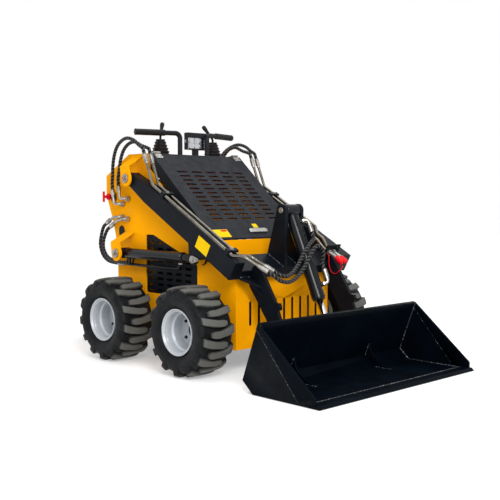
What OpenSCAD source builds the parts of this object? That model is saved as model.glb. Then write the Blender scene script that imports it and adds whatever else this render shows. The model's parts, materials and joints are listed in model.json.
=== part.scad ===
// Wheeled stand-on mini loader with a lift boom and a front bucket.
// +X points to the bucket, +Y to the machine's left and +Z up, all in millimetres.
// The origin lies on the ground at the middle of the machine's length and width.
// Places along the machine are counted from the front axle, forward or back.

/* [Machine] */
// Front axle to the tip of the cutting edge
front_reach = 928; // [900:1:960]
// Front axle to the rear edge of the platform
rear_reach = 1340; // [1280:1:1420]
// Distance between the axles
wheelbase = 643; // [625:1:660]

/* [Wheels] */
// Outer radius of the tyre over its lugs
tyre_r = 228; // [220:1:234]
// Width of the tyre
tyre_w = 215; // [200:1:220]
// Middle of the machine to the middle of a tyre
wheel_y = 522; // [515:1:540]
// Radius of the rim's flange
rim_r = 117; // [110:1:125]
// Width of the rim over its flanges
rim_w = 190; // [180:1:196]

/* [Body] */
// Width over the side plates
body_w = 700; // [690:1:704]
// Thickness of the side plates
plate_t = 8; // [6:1:10]
// Thickness of the bent sheets
sheet_t = 6; // [4:1:8]
// Height of the underside
body_z = 124; // [115:1:140]
// Front panel ahead of the front axle
body_front = 146; // [135:1:150]
// Upper rear edge behind the front axle
body_rear = 976; // [960:1:1000]
// Height of the console's top
console_z = 1141; // [1130:1:1170]

/* [Hood] */
// Hinged edge of the hood behind the front axle
hood_back = 559; // [550:1:566]
// Lower edge of the hood behind the front axle
hood_front = 30; // [20:1:40]
// Height of the hood's lower edge
hood_low_z = 680; // [670:1:700]
// Depth of the hood's skirts, measured upright
skirt_d = 80; // [60:1:90]

/* [Boom] */
// Boom pivot behind the front axle
pivot_back = 630; // [620:1:640]
// Height of the boom pivot
pivot_z = 1000; // [990:1:1010]
// Fall of the arms from the pivot, in degrees
arm_slope = 29.1; // [28:0.1:30]
// Length of an arm from the pivot to its front end
arm_l = 966; // [950:1:975]
// Depth of an arm
arm_d = 100; // [90:1:104]
// Width of an arm
arm_w = 70; // [60:1:74]
// Middle of the machine to the middle of an arm
arm_y = 405; // [400:1:410]
// Bucket hinge ahead of the front axle
hinge_ahead = 400; // [390:1:410]
// Height of the bucket hinge
hinge_z = 150; // [140:1:160]

/* [Bucket] */
// Width of the bucket
bucket_w = 1204; // [1150:1:1250]
// Height of the bucket's back
bucket_h = 329; // [310:1:350]
// Thickness of the bucket's sheets
bucket_t = 8; // [6:1:10]

/* [Cylinders] */
// Radius of a lift barrel
lift_r = 29; // [25:1:32]
// Radius of a lift rod
lift_rod_r = 15; // [12:1:18]
// Radius of the tilt barrel
tilt_r = 34; // [30:1:38]
// Radius of the tilt rod
tilt_rod_r = 17; // [14:1:20]

/* [Hidden] */
$fn = 48;

// Overrun of a cut past the faces that it opens
over = 1;
// Clearance of a pin or shaft in its bore, and of a piece set in another
fit = 0.3;
// Steps of a rounded corner in a sheet's outline
corner_steps = 5;

// Place of the front axle and of other places counted from it
axle_x = (rear_reach - front_reach) / 2;
function ahead(d) = axle_x + d;
function behind(d) = axle_x - d;
function from_axle(routes) = [for (route = routes) [for (p = route) [ahead(p[0]), p[1], p[2]]]];

// Colours
yellow = [1.0, 0.66, 0.0];
black = [0.06, 0.07, 0.08];
grey = [0.22, 0.23, 0.25];
steel = [0.72, 0.74, 0.76];
rubber = [0.17, 0.18, 0.19];
red = [0.8, 0.05, 0.07];
glass = [0.85, 0.9, 0.95];

// Outline helpers in the side view: a point is [along X, up Z]
function unit(v) = v / norm(v);
function turn(v) = [-v[1], v[0]];

// Four tangent points of two circles
function link_points(a, ra, b, rb) =
    let (d = b - a, base = atan2(d[1], d[0]), open = acos((ra - rb) / norm(d)))
    [
        a + ra * [cos(base + open), sin(base + open)],
        b + rb * [cos(base + open), sin(base + open)],
        b + rb * [cos(base - open), sin(base - open)],
        a + ra * [cos(base - open), sin(base - open)]
    ];

// Arc that replaces the corner at b of a path through a, b and c
function corner_arc(a, b, c, r) =
    let (
        u = unit(a - b), v = unit(c - b), half = acos(u * v) / 2,
        mid = b + unit(u + v) * r / sin(half),
        p = b + u * r / tan(half) - mid, q = b + v * r / tan(half) - mid,
        from = atan2(p[1], p[0]), swing = atan2(q[1], q[0]) - from,
        sweep = swing > 180 ? swing - 360 : swing < -180 ? swing + 360 : swing
    )
    [
        for (i = [0:corner_steps])
            let (a = from + sweep * i / corner_steps)
            mid + r * [cos(a), sin(a)]
    ];
function rounded(pts, r) =
    let (n = len(pts))
    [for (i = [0:n - 1]) each corner_arc(pts[(i + n - 1) % n], pts[i], pts[(i + 1) % n], r)];

// Path moved sideways to its left by t, with mitred corners
function side_step(pts, t) =
    let (n = len(pts))
    [
        for (i = [0:n - 1])
            let (
                u = turn(unit(i > 0 ? pts[i] - pts[i - 1] : pts[1] - pts[0])),
                v = turn(unit(i < n - 1 ? pts[i + 1] - pts[i] : pts[n - 1] - pts[n - 2])),
                w = unit(u + v)
            )
            pts[i] + w * t / (w * u)
    ];
function reversed(pts) = [for (i = [len(pts) - 1:-1:0]) pts[i]];
function sheet_points(pts, t) = concat(pts, reversed(side_step(pts, t)));

module link_2d(a, ra, b, rb) {
    translate(a) circle(r = ra);
    translate(b) circle(r = rb);
    polygon(link_points(a, ra, b, rb));
}

// Solids helpers
module slab(y0, y1) {
    translate([0, y1, 0]) rotate([90, 0, 0]) linear_extrude(y1 - y0) children();
}

module bar_y(p, r, y0, y1) {
    translate([p[0], y1, p[1]]) rotate([90, 0, 0]) cylinder(r = r, h = y1 - y0);
}

module bar_x(x0, x1, r) {
    translate([x0, 0, 0]) rotate([0, 90, 0]) cylinder(r = r, h = x1 - x0);
}

module on_side(s) {
    if (s < 0) mirror([0, 1, 0]) children();
    else children();
}

module both_sides() {
    children();
    mirror([0, 1, 0]) children();
}

// Straight bar between two points in space
module bar(a, b, r) {
    d = b - a;
    translate(a)
        rotate([0, acos(d[2] / norm(d)), atan2(d[1], d[0])])
            cylinder(r = r, h = norm(d));
}

// Route through corners that are rounded with one bend radius
bend_steps = 4;
function bend_points(a, b, c, bend) =
    let (
        u = unit(b - a), v = unit(c - b), angle = acos(u * v), w = unit(v - u * (u * v)),
        mid = b - u * bend * tan(angle / 2) + w * bend
    )
    [
        for (i = [0:bend_steps])
            let (turned = angle * i / bend_steps)
            mid + bend * (u * sin(turned) - w * cos(turned))
    ];
function bent_route(pts, bend) =
    let (n = len(pts))
    concat(
        [pts[0]],
        [for (i = [1:n - 2]) each bend_points(pts[i - 1], pts[i], pts[i + 1], bend)],
        [pts[n - 1]]
    );

// Smooth route through hand-chosen points, and the hose swept along it
hose_sides = 8;
route_steps = 2;
function spline_at(p0, p1, p2, p3, t) =
    let (slope = p2 - p0, bow = 2 * p0 - 5 * p1 + 4 * p2 - p3, twist = 3 * p1 - p0 - 3 * p2 + p3)
    (2 * p1 + slope * t + bow * t * t + twist * t * t * t) / 2;
function smooth_route(pts) =
    let (n = len(pts))
    concat(
        [pts[0]],
        [
            for (i = [1:n - 3])
                for (k = [0:route_steps - 1])
                    spline_at(pts[i - 1], pts[i], pts[i + 1], pts[i + 2], k / route_steps)
        ],
        [pts[n - 2], pts[n - 1]]
    );
function hose_ring(p, along, across, r) =
    let (e = unit(cross(along, across)), g = unit(cross(e, along)))
    [for (j = [0:hose_sides - 1]) p + r * (e * cos(360 * j / hose_sides) + g * sin(360 * j / hose_sides))];

// Round bar swept along a list of points
module swept(pts, r, across) {
    n = len(pts);
    rings = [
        for (i = [0:n - 1])
            each hose_ring(pts[i], unit(pts[min(i + 1, n - 1)] - pts[max(i - 1, 0)]), across, r)
    ];
    walls = [
        for (i = [0:n - 2])
            for (j = [0:hose_sides - 1])
                let (k = (j + 1) % hose_sides, a = i * hose_sides)
                each [[a + j, a + k, a + hose_sides + k], [a + j, a + hose_sides + k, a + hose_sides + j]]
    ];
    first = [for (j = [hose_sides - 1:-1:0]) j];
    last = [for (j = [0:hose_sides - 1]) (n - 1) * hose_sides + j];
    polyhedron(points = rings, faces = concat(walls, [first, last]));
}

module hose(route, r, across) {
    swept(smooth_route(route), r, across);
}

module bent_tube(pts, r, bend, across = [0, 1, 0]) {
    swept(bent_route(pts, bend), r, across);
}

// Body outline, seen from the side
inner_y = body_w / 2 - plate_t;
outer_y = body_w / 2;
front_x = ahead(body_front);
rear_x = behind(body_rear);
rear_top_z = 1022;
rear_mid_z = 910;
rear_waist = 909;
rear_waist_z = 752;
rear_foot = 865;
rear_foot_z = 600;
nose_z = 490;
deck_z = 585;
band_x = behind(hood_front);
console_back = 750;
hood_x = behind(hood_back);
seam = 8;
skirt_low = [band_x, hood_low_z - skirt_d - seam];
skirt_high = [hood_x, console_z - skirt_d - seam];
rear_line = [
    [rear_x, rear_top_z],
    [rear_x, rear_mid_z],
    [behind(rear_waist), rear_waist_z],
    [behind(rear_foot), rear_foot_z],
    [behind(rear_foot), body_z]
];
side_outline = concat(
    rear_line,
    [
        [front_x, body_z], [front_x, nose_z], [band_x, deck_z], skirt_low, skirt_high,
        [hood_x - seam, console_z], [behind(console_back), console_z]
    ]
);

// Window in the side plate
window_back = 597;
window_ahead = 150;
window_z0 = 362;
window_z1 = 688;
window_shelf = 526;
window_front_z = 545;
window_r = 16;
window_outline = [
    [behind(window_back), window_z0], [behind(window_ahead), window_z0],
    [behind(window_ahead), window_front_z], [behind(window_shelf), window_z1],
    [behind(window_back), window_z1]
];
mesh_rim = 25;

// Boom pivot, lift cylinder pins and their ears
pivot = [behind(pivot_back), pivot_z];
lift_base_back = 727;
lift_base_z = 581;
lift_eye_back = 80;
lift_eye_z = 577;
lift_base = [behind(lift_base_back), lift_base_z];
lift_eye = [behind(lift_eye_back), lift_eye_z];
ear_y = 462;
ear_t = 10;
ear_r = 44;
pin_r = 20;
pin_head_r = 26;
pin_head_t = 9;
// Ears step out to clear the arms: heights of the fold and of the top above the pin, and width
ear_fold = 68;
ear_top = 140;
ear_w = 64;
lift_fold = 62;
lift_top = 122;
lift_ear_w = 70;

// Arm frame: t runs along the arm from the pivot, n stands up from its middle line
function arm_at(t, n) =
    pivot + t * [cos(arm_slope), -sin(arm_slope)] + n * [sin(arm_slope), cos(arm_slope)];
arm_in = arm_y - arm_w / 2;
arm_out = arm_y + arm_w / 2;
arm_end_r = 34;
taper_l = 180;
cheek_t = 10;
cheek_r = 34;
cheek_l = 150;
beam_l = 146;
beam_t0 = arm_l - beam_l;

// Leg plates
leg_in = 275;
leg_out = 295;
hinge = [ahead(hinge_ahead), hinge_z];
hinge_r = 42;
hinge_pin_r = 15;
leg_w = 240;
leg_h = 400;
// Outline from the hinge: columns are parts of the leg's width and height
leg_rear_shares = [[-0.98, 0.868], [-0.867, 0.725], [-0.65, 0.563], [-0.35, 0.318]];
leg_front_shares = [
    [0.008, 0.355], [-0.079, 0.475], [-0.017, 0.49], [-0.008, 0.525], [-0.033, 0.57], [-0.142, 0.575],
    [-0.375, 0.80], [-0.575, 0.988]
];
leg_rib_shares = [-0.77, 0.83];
leg_rib_l = 120;
leg_rib_w = 45;
leg_rib_t = 8;
leg_rib_slope = 51.7;
function leg_at(share) = hinge + [share[0] * leg_w, share[1] * leg_h];
gusset_l = 90;
gusset_t = 12;

// Tilt cylinder
tower_ahead = 188;
tower_z = 827;
tower_pin = [ahead(tower_ahead), tower_z];
tower_r = 34;
tower_in = 48;
tower_t = 20;
tilt_pin_r = 15;
tilt_eye_ahead = 450;
tilt_eye_z = 250;
tilt_eye = [ahead(tilt_eye_ahead), tilt_eye_z];

// Bucket outline
ground_gap = 3;
bucket_top_ahead = 558;
heel_ahead = 457;
heel_z = 60;
base_ahead = 523;
bucket_top = [ahead(bucket_top_ahead), bucket_h];
bucket_heel = [ahead(heel_ahead), heel_z];
bucket_base = [ahead(base_ahead), ground_gap];
edge_l = 68;
edge_t = 14;
side_front = 27;
side_front_h = 44;
tip_x = ahead(front_reach);

// Side plates
module joggled_ear(pin, fold, top, w) {
    z0 = pin[1] + fold;
    z1 = pin[1] + top;
    slab(ear_y - ear_t, ear_y)
        difference() {
            union() {
                translate(pin) circle(r = ear_r);
                polygon([
                    pin + [-ear_r, 0], pin + [ear_r, 0],
                    [pin[0] - ear_r + w, z0], [pin[0] - ear_r - plate_t, z0]
                ]);
            }
            translate(pin) circle(r = pin_r + fit);
        }
    x0 = pin[0] - ear_r - plate_t;
    translate([x0, 0, 0])
        rotate([90, 0, 90])
            linear_extrude(w + plate_t)
                polygon([
                    [ear_y, z0], [ear_y - ear_t, z0], [outer_y, z1 - ear_t], [outer_y, z1]
                ]);
}

module side_plate(s) {
    color(yellow)
        on_side(s) {
            slab(inner_y, outer_y)
                difference() {
                    polygon(side_outline);
                    polygon(rounded(window_outline, window_r));
                    for (p = [pivot, lift_base]) translate(p) circle(r = pin_r + fit);
                }
            joggled_ear(pivot, ear_fold, ear_top, ear_w);
            joggled_ear(lift_base, lift_fold, lift_top, lift_ear_w);
        }
}

module side_plate_right() { side_plate(-1); }
module side_plate_left() { side_plate(1); }

module belly_pan() {
    color(black)
        translate([behind(rear_foot) + sheet_t, -inner_y, body_z])
            cube([front_x - behind(rear_foot) - 2 * sheet_t, 2 * inner_y, sheet_t]);
}

module rear_panel() {
    top = [[rear_x, rear_top_z - 2 * sheet_t]];
    line = concat(top, [for (i = [1:len(rear_line) - 1]) rear_line[i]]);
    color(yellow) slab(-inner_y, inner_y) polygon(sheet_points(line, sheet_t));
}

// Front panel with its row of upright slots
slot_n = 9;
slot_pitch = 62.5;
slot_w = 16;
slot_z0 = 240;
slot_z1 = 365;
module front_grille() {
    r = slot_w / 2;
    color(yellow)
        difference() {
            translate([front_x - sheet_t, -inner_y, body_z])
                cube([sheet_t, 2 * inner_y, nose_z - body_z - sheet_t]);
            for (i = [0:slot_n - 1])
                translate([front_x - sheet_t - over, (i - (slot_n - 1) / 2) * slot_pitch, 0])
                    rotate([90, 0, 90])
                        linear_extrude(sheet_t + 2 * over)
                            link_2d([0, slot_z0 + r], r, [0, slot_z1 - r], r);
        }
}

module nose_deck() {
    color(grey)
        slab(-inner_y, inner_y)
            polygon([
                [front_x, nose_z], [band_x, deck_z], [band_x, deck_z - sheet_t],
                [front_x - sheet_t, nose_z - sheet_t], [front_x, nose_z - sheet_t]
            ]);
}

band_lap = 25;
band_gap = 9;
module front_band() {
    w = hood_y - sheet_t - hood_side;
    color(yellow)
        translate([band_x - sheet_t, -w, deck_z - band_lap])
            cube([sheet_t, 2 * w, hood_low_z - band_gap - deck_z + band_lap]);
}

module console() {
    line = [[rear_x, rear_top_z], [behind(console_back), console_z], [hood_x - seam, console_z]];
    color(yellow) slab(-inner_y, inner_y) polygon(sheet_points(line, -sheet_t));
}

grate_rows = 10;
grate_columns = 5;
grate_start = 555;
grate_z = 379;
grate_pitch_x = 80;
grate_pitch_z = 33;
grate_w = 50;
grate_h = 14;
// Highest slot that stays below the window's sloping edge
function grate_roof(d) =
    d > window_shelf ? window_z1
    : window_z1 + (window_front_z - window_z1) * (window_shelf - d) / (window_shelf - window_ahead);
module grate_2d() {
    r = grate_h / 2;
    for (j = [0:grate_columns - 1])
        for (i = [0:grate_rows - 1]) {
            d = grate_start - j * grate_pitch_x;
            z = grate_z + i * grate_pitch_z;
            if (z + grate_h < grate_roof(d - grate_w / 2))
                translate([behind(d), z]) link_2d([r - grate_w / 2, 0], r, [grate_w / 2 - r, 0], r);
        }
}

module side_mesh() {
    x0 = behind(window_back) - mesh_rim;
    x1 = behind(window_ahead) + mesh_rim;
    color(black)
        both_sides()
            slab(inner_y - sheet_t, inner_y)
                difference() {
                    polygon([
                        [x0, window_z0 - mesh_rim], [x1, window_z0 - mesh_rim],
                        [x1, window_front_z + mesh_rim], [behind(window_shelf), window_z1 + mesh_rim],
                        [x0, window_z1 + mesh_rim]
                    ]);
                    grate_2d();
                }
}

engine_back = 700;
engine_l = 460;
engine_w = 420;
engine_z = 190;
engine_h = 420;
foot_w = 60;
module engine_block() {
    color(black) {
        translate([behind(engine_back), -engine_w / 2, engine_z]) cube([engine_l, engine_w, engine_h]);
        for (x = [0, engine_l - foot_w])
            for (y = [0, engine_w - foot_w])
                translate([behind(engine_back) + x, y - engine_w / 2, body_z + sheet_t])
                    cube([foot_w, foot_w, engine_z - body_z - sheet_t]);
    }
}

// Wheels: profiles are [radius, place across the tyre]
axles = [axle_x, axle_x - wheelbase];
motor_r = 62;
motor_flange_r = 80;
motor_flange_t = 12;
motor_end = 455;
shaft_r = 20;
shaft_l = 48;
hub_r = 58;
hub_gap = 1;
disc_t = 8;
disc_in = 25;
rim_t = 5;
rim_seat = 15;
flange_t = 10;
bead = 18;
seat_r = rim_r - rim_seat;

module at_wheel(x, s) {
    translate([x, s * wheel_y, tyre_r]) on_side(s) rotate([-90, 0, 0]) children();
}

module wheel_motors() {
    color(black)
        for (x = axles)
            both_sides()
                difference() {
                    union() {
                        bar_y([x, tyre_r], motor_flange_r, outer_y, outer_y + motor_flange_t);
                        bar_y([x, tyre_r], motor_r, outer_y, motor_end);
                    }
                    bar_y([x, tyre_r], shaft_r + fit, motor_end - shaft_l - hub_gap, motor_end + over);
                }
}

// The tyre is one closed skin: points run from bead to bead in rings round the wheel.
// Lugs stand in two rows half a pitch apart, and each lug spans two rings.
lug_n = 13;
lug_fill_share = 0.92;
tip_fill_share = 0.74;
lug_sweep = -8;
// Columns: height and width beside a lug, height and width on a lug, part of half a pitch that a lug fills
skin_shares = [
    [0.48, 1.00, 0.48, 1.00, lug_fill_share],
    [0.66, 0.98, 0.72, 1.00, lug_fill_share],
    [0.80, 0.86, 0.98, 0.93, lug_fill_share],
    [0.82, 0.05, 1.00, 0.10, tip_fill_share]
];
half_pitch = 180 / lug_n;
function lug_angle(k, fill, across) =
    half_pitch * (floor(k / 2) + (k % 2 - 0.5) * fill) + lug_sweep * across;
// Turned so that a lug's tip stands on the ground
function skin_angle(k, fill, across) =
    90 + lug_angle(k, fill, across) - lug_angle(0, tip_fill_share, skin_shares[3][3]);
function skin_point(k, row, side) =
    let (
        lug = (k % 4 < 2) == (side > 0),
        across = lug ? row[3] : row[1],
        r = rim_r + (lug ? row[2] : row[0]) * (tyre_r - rim_r),
        a = skin_angle(k, row[4], across)
    )
    [r * cos(a), r * sin(a), side * across * tyre_w / 2];
function bead_points(k, side) =
    let (a = skin_angle(k, lug_fill_share, 1), w = side * (rim_w / 2 - flange_t))
    [for (r = [(seat_r + fit) / cos(half_pitch / 2), rim_r + flange_t / 2]) [r * cos(a), r * sin(a), w]];
function skin_ring(k) = concat(
    bead_points(k, 1),
    [for (row = skin_shares) skin_point(k, row, 1)],
    [for (row = reversed(skin_shares)) skin_point(k, row, -1)],
    reversed(bead_points(k, -1))
);

module tyre(x, s) {
    m = 4 * lug_n;
    rings = [for (k = [0:m - 1]) skin_ring(k)];
    n = len(rings[0]);
    faces = [
        for (k = [0:m - 1])
            for (j = [0:n - 1])
                let (
                    a = k * n + j, b = k * n + (j + 1) % n,
                    d = (k + 1) % m * n + j, c = (k + 1) % m * n + (j + 1) % n
                )
                each [[a, c, b], [a, d, c]]
    ];
    color(rubber) at_wheel(x, s) polyhedron(points = [for (ring = rings) each ring], faces = faces);
}

module tyre_front_right() { tyre(axles[0], -1); }
module tyre_front_left() { tyre(axles[0], 1); }
module tyre_rear_right() { tyre(axles[1], -1); }
module tyre_rear_left() { tyre(axles[1], 1); }

// Dish of the rim: columns are depth from the outer flange and step in from the seat, as parts of the rim
dish_shares = [[0.0, 0.0], [0.10, 0.55], [0.26, 0.62], [0.31, 1.0]];
dish_step = 22;
bolt_n = 5;
bolt_r = 9;
bolt_ring_r = 70;
module rim(x, s) {
    w = rim_w / 2;
    f = flange_t - fit;
    disc_y = -disc_in;
    hub_y = motor_end + hub_gap - wheel_y;
    in_r = seat_r - rim_t;
    dish = [for (p = dish_shares) [rim_r - rim_t - p[1] * dish_step, w - p[0] * rim_w]];
    color(steel)
        at_wheel(x, s) {
            difference() {
                rotate_extrude()
                    polygon(concat(
                        [[seat_r, w - f], [rim_r, w - f], [rim_r, w]],
                        dish,
                        [[dish[3][0], disc_y + disc_t], [0, disc_y + disc_t], [0, disc_y],
                         [in_r, disc_y], [in_r, -w], [rim_r, -w], [rim_r, f - w], [seat_r, f - w]]
                    ));
                for (i = [0:bolt_n - 1])
                    rotate([0, 0, 360 * i / bolt_n])
                        translate([bolt_ring_r, 0, disc_y - over])
                            cylinder(r = bolt_r, h = disc_t + 2 * over);
            }
            translate([0, 0, hub_y]) cylinder(r = hub_r, h = disc_y - hub_y);
            translate([0, 0, hub_y - shaft_l]) cylinder(r = shaft_r, h = shaft_l);
        }
}

module rim_front_right() { rim(axles[0], -1); }
module rim_front_left() { rim(axles[0], 1); }
module rim_rear_right() { rim(axles[1], -1); }
module rim_rear_left() { rim(axles[1], 1); }

// Standing platform behind the body, as long as the rear reach leaves it
platform_gap = 45;
platform_l = rear_reach - rear_foot - platform_gap;
platform_w = 600;
platform_z = 225;
platform_h = 32;
bracket_w = 50;
bracket_h = 60;
bracket_y = 180;
module platform() {
    color(black) {
        translate([behind(rear_reach), -platform_w / 2, platform_z])
            cube([platform_l, platform_w, platform_h]);
        x = behind(rear_reach) + platform_l - bracket_h;
        for (y = [-bracket_y, bracket_y])
            translate([x, y - bracket_w / 2, platform_z - bracket_h])
                cube([platform_gap + bracket_h, bracket_w, bracket_h]);
    }
}

// Controls on the console
bar_r = 14;
bar_bend = 30;
post_back = 591;
post_x = behind(post_back);
post_y = 103;
grip_z = 1265;
grip_end_back = 666;
grip_end_x = behind(grip_end_back);
grip_end_y = 366;
grip_r = 17;
grip_share = 0.35;
module grab_bars() {
    run = [grip_end_x - post_x, grip_end_y - post_y];
    l = norm(run);
    h = grip_z - console_z;
    color(black)
        both_sides()
            translate([post_x, post_y, console_z])
                rotate([0, 0, atan2(run[1], run[0])]) {
                    cylinder(r = bar_r, h = h - bar_bend);
                    translate([bar_bend, 0, h - bar_bend])
                        rotate([90, 0, 0])
                            rotate([0, 0, 90])
                                rotate_extrude(angle = 90) translate([bar_bend, 0]) circle(r = bar_r);
                    translate([0, 0, h]) {
                        bar_x(bar_bend, l * grip_share, bar_r);
                        bar_x(l * grip_share, l, grip_r);
                    }
                }
}

stick_back = 650;
stick_x = behind(stick_back);
stick_y = 200;
boot_r = 60;
boot_top_r = 28;
boot_h = 88;
lever_r = 6;
neck_r = 8;
knob_back = 681;
knob_y = 163;
knob_z = 1313;
knob = [behind(knob_back), knob_y, knob_z];
knob_r = 17;
bellows_n = 5;
bellows_share = 0.82;
module joystick_boots() {
    step = boot_h / (2 * bellows_n);
    folds = [
        for (i = [0:2 * bellows_n])
            let (r = boot_r + (boot_top_r - boot_r) * i / (2 * bellows_n))
            [i % 2 == 0 ? r : r * bellows_share, i * step]
    ];
    bore = lever_r + fit;
    color(rubber)
        for (s = [-1, 1])
            translate([stick_x, s * stick_y, console_z])
                rotate_extrude()
                    polygon(concat([[0, 0]], folds, [[bore, boot_h], [bore, boot_h / 2], [0, boot_h / 2]]));
}

module joysticks() {
    foot = [stick_x, stick_y, console_z + boot_h / 2];
    neck = [stick_x, stick_y, console_z + boot_h + knob_r];
    color(black)
        both_sides() {
            bar(foot, neck, lever_r);
            translate(neck) sphere(r = neck_r);
            bar(neck, knob, lever_r);
            translate(knob) sphere(r = knob_r);
        }
}

lamp_back = 610;
lamp_x = behind(lamp_back);
lamp_y = 40;
lamp_z = 1176;
lamp_w = 146;
lamp_h = 100;
lamp_d = 30;
lamp_frame = 8;
lens_t = 6;
lamp_stem_w = 30;
module work_lamp() {
    color(black)
        translate([lamp_x, lamp_y, 0]) {
            difference() {
                translate([-lamp_d, -lamp_w / 2, lamp_z]) cube([lamp_d, lamp_w, lamp_h]);
                translate([-lens_t, lamp_frame - lamp_w / 2, lamp_z + lamp_frame])
                    cube([lens_t + over, lamp_w - 2 * lamp_frame, lamp_h - 2 * lamp_frame]);
            }
            translate([-lamp_d, -lamp_stem_w / 2, console_z]) cube([lamp_d, lamp_stem_w, lamp_z - console_z]);
        }
}

module lamp_lens() {
    color(glass)
        translate([lamp_x - lens_t, lamp_y - lamp_w / 2 + lamp_frame + fit, lamp_z + lamp_frame + fit])
            cube([lens_t, lamp_w - 2 * lamp_frame - 2 * fit, lamp_h - 2 * lamp_frame - 2 * fit]);
}

key_back = 946;
key_z = 900;
key_at = [behind(key_back), key_z];
key_base_r = 18;
key_base_t = 14;
key_stem_r = 8;
key_l = 36;
key_w = 62;
key_t = 10;
module isolator_switch() {
    color(red)
        mirror([0, 1, 0]) {
            bar_y(key_at, key_base_r, outer_y, outer_y + key_base_t);
            bar_y(key_at, key_stem_r, outer_y + key_base_t, outer_y + key_l);
            translate([key_at[0] - key_t / 2, outer_y + key_l, key_at[1] - key_w / 2])
                cube([key_t, key_t, key_w]);
        }
}

plug_t = 6;
plug_r = 25;
plug_l = 16;
plug_backs = [899, 822];
plug_zs = [889, 692];
module plate_plugs() {
    color(rubber)
        both_sides()
            for (i = [0, 1]) {
                p = [behind(plug_backs[i]), plug_zs[i]];
                slab(outer_y, outer_y + plug_t) link_2d(p, plug_r, p + [0, plug_l], plug_r);
            }
}

// Bulkhead fittings: a nut on the plate, a bent pipe and a crimp that takes the hose
nut_r = 17;
nut_t = 14;
pipe_r = 8;
pipe_bend = 16;
ferrule_r = 12;
ferrule_lap = 10;
// Routes of the pipes, each from its nut to the far end of its crimp; places along count from the front axle
fitting_routes = from_axle([
    [[-752, 352, 888], [-752, 387, 888], [-789, 388, 890], [-793, 389, 925], [-797, 390, 959]],
    [[-802, 352, 858], [-802, 386, 858], [-846, 388, 860], [-854, 389, 900], [-857, 390, 940]],
    [[-756, 352, 772], [-756, 386, 772], [-810, 388, 764], [-842, 390, 748], [-876, 392, 728]],
    [[-806, 352, 782], [-806, 386, 782], [-852, 388, 782], [-880, 390, 768], [-912, 392, 748]]
]);
fitting_across = [1, 1, -1];
function fitting_aim(route) = unit(route[len(route) - 1] - route[len(route) - 2]);
module bulkhead_fittings() {
    color(steel)
        both_sides()
            for (route = fitting_routes) {
                n = len(route) - 1;
                pipe = concat(
                    [for (i = [0:n - 2]) route[i]],
                    [route[n - 1] + fitting_aim(route) * ferrule_lap]
                );
                translate([route[0][0], outer_y, route[0][2]])
                    rotate([-90, 0, 0]) cylinder(r = nut_r, h = nut_t, $fn = 6);
                bent_tube(pipe, pipe_r, pipe_bend, fitting_across);
                bar(route[n - 1], route[n], ferrule_r);
            }
}

hinge_y = 298;
hinge_w = 46;
knuckle_r = 6;
leaf_l = 36;
leaf_t = 4;
module hood_hinges() {
    color(steel)
        both_sides() {
            bar_y([hood_x, console_z + knuckle_r], knuckle_r, hinge_y - hinge_w / 2, hinge_y + hinge_w / 2);
            translate([hood_x - leaf_l, hinge_y - hinge_w / 2, console_z]) cube([leaf_l, hinge_w, leaf_t]);
        }
}

module pivot_pins() {
    color(steel)
        both_sides()
            for (p = [pivot, lift_base]) {
                bar_y(p, pin_r, inner_y, ear_y + pin_head_t);
                bar_y(p, pin_head_r, ear_y, ear_y + pin_head_t);
            }
}

// Hood
hood_gap = 1;
hood_side = 5;
hood_top = [hood_x + hood_gap, console_z];
hood_low = [band_x, hood_low_z];
hood_y = inner_y - hood_side;
hood_l = norm(hood_low - hood_top);
function slope_of(a, b) = atan2(b[1] - a[1], b[0] - a[0]);
// Frame on the hood's top face: local X runs down the slope and local Z stands off the face
module on_hood(share, y) {
    p = hood_top + (hood_low - hood_top) * share;
    translate([p[0], y, p[1]]) rotate([0, -slope_of(hood_top, hood_low), 0]) children();
}

vent_rows = 12;
vent_columns = 5;
vent_start_share = 0.222;
vent_pitch_share = 0.051;
vent_pitch_y = 106;
vent_w = 73;
vent_h = 14;
module vents_2d() {
    d = (vent_w - vent_h) / 2;
    for (i = [0:vent_rows - 1])
        for (j = [0:vent_columns - 1])
            translate([
                hood_l * (vent_start_share + i * vent_pitch_share),
                (j - (vent_columns - 1) / 2) * vent_pitch_y
            ])
                link_2d([0, -d], vent_h / 2, [0, d], vent_h / 2);
}

module hood() {
    along = unit(hood_low - hood_top);
    under = hood_top - turn(along) * sheet_t;
    below = [0, 2 * skirt_d];
    head = under - along * skirt_d;
    foot = under + along * (hood_l + skirt_d);
    color(grey)
        difference() {
            slab(-hood_y, hood_y)
                polygon([hood_top, hood_low, hood_low - [0, skirt_d], hood_top - [0, skirt_d]]);
            slab(sheet_t - hood_y, hood_y - sheet_t) polygon([head, foot, foot - below, head - below]);
            on_hood(0, 0) translate([0, 0, -2 * sheet_t]) linear_extrude(3 * sheet_t) vents_2d();
        }
}

handle_share = 0.93;
handle_y = 15;
handle_w = 135;
handle_r = 14;
handle_t = 9;
module hood_handle() {
    d = handle_w / 2 - handle_r;
    color(steel)
        on_hood(handle_share, handle_y) linear_extrude(handle_t) link_2d([0, -d], handle_r, [0, d], handle_r);
}

// Boom
module arm(s) {
    color(black)
        on_side(s) {
            slab(arm_in, arm_out)
                difference() {
                    union() {
                        translate(pivot) circle(r = arm_end_r);
                        polygon([
                            arm_at(0, -arm_end_r), arm_at(taper_l, -arm_d / 2), arm_at(arm_l, -arm_d / 2),
                            arm_at(arm_l, arm_d / 2), arm_at(taper_l, arm_d / 2), arm_at(0, arm_end_r)
                        ]);
                    }
                    translate(pivot) circle(r = pin_r + fit);
                }
            for (y = [arm_in, arm_out - cheek_t])
                slab(y, y + cheek_t) cheek_2d();
        }
}

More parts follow.
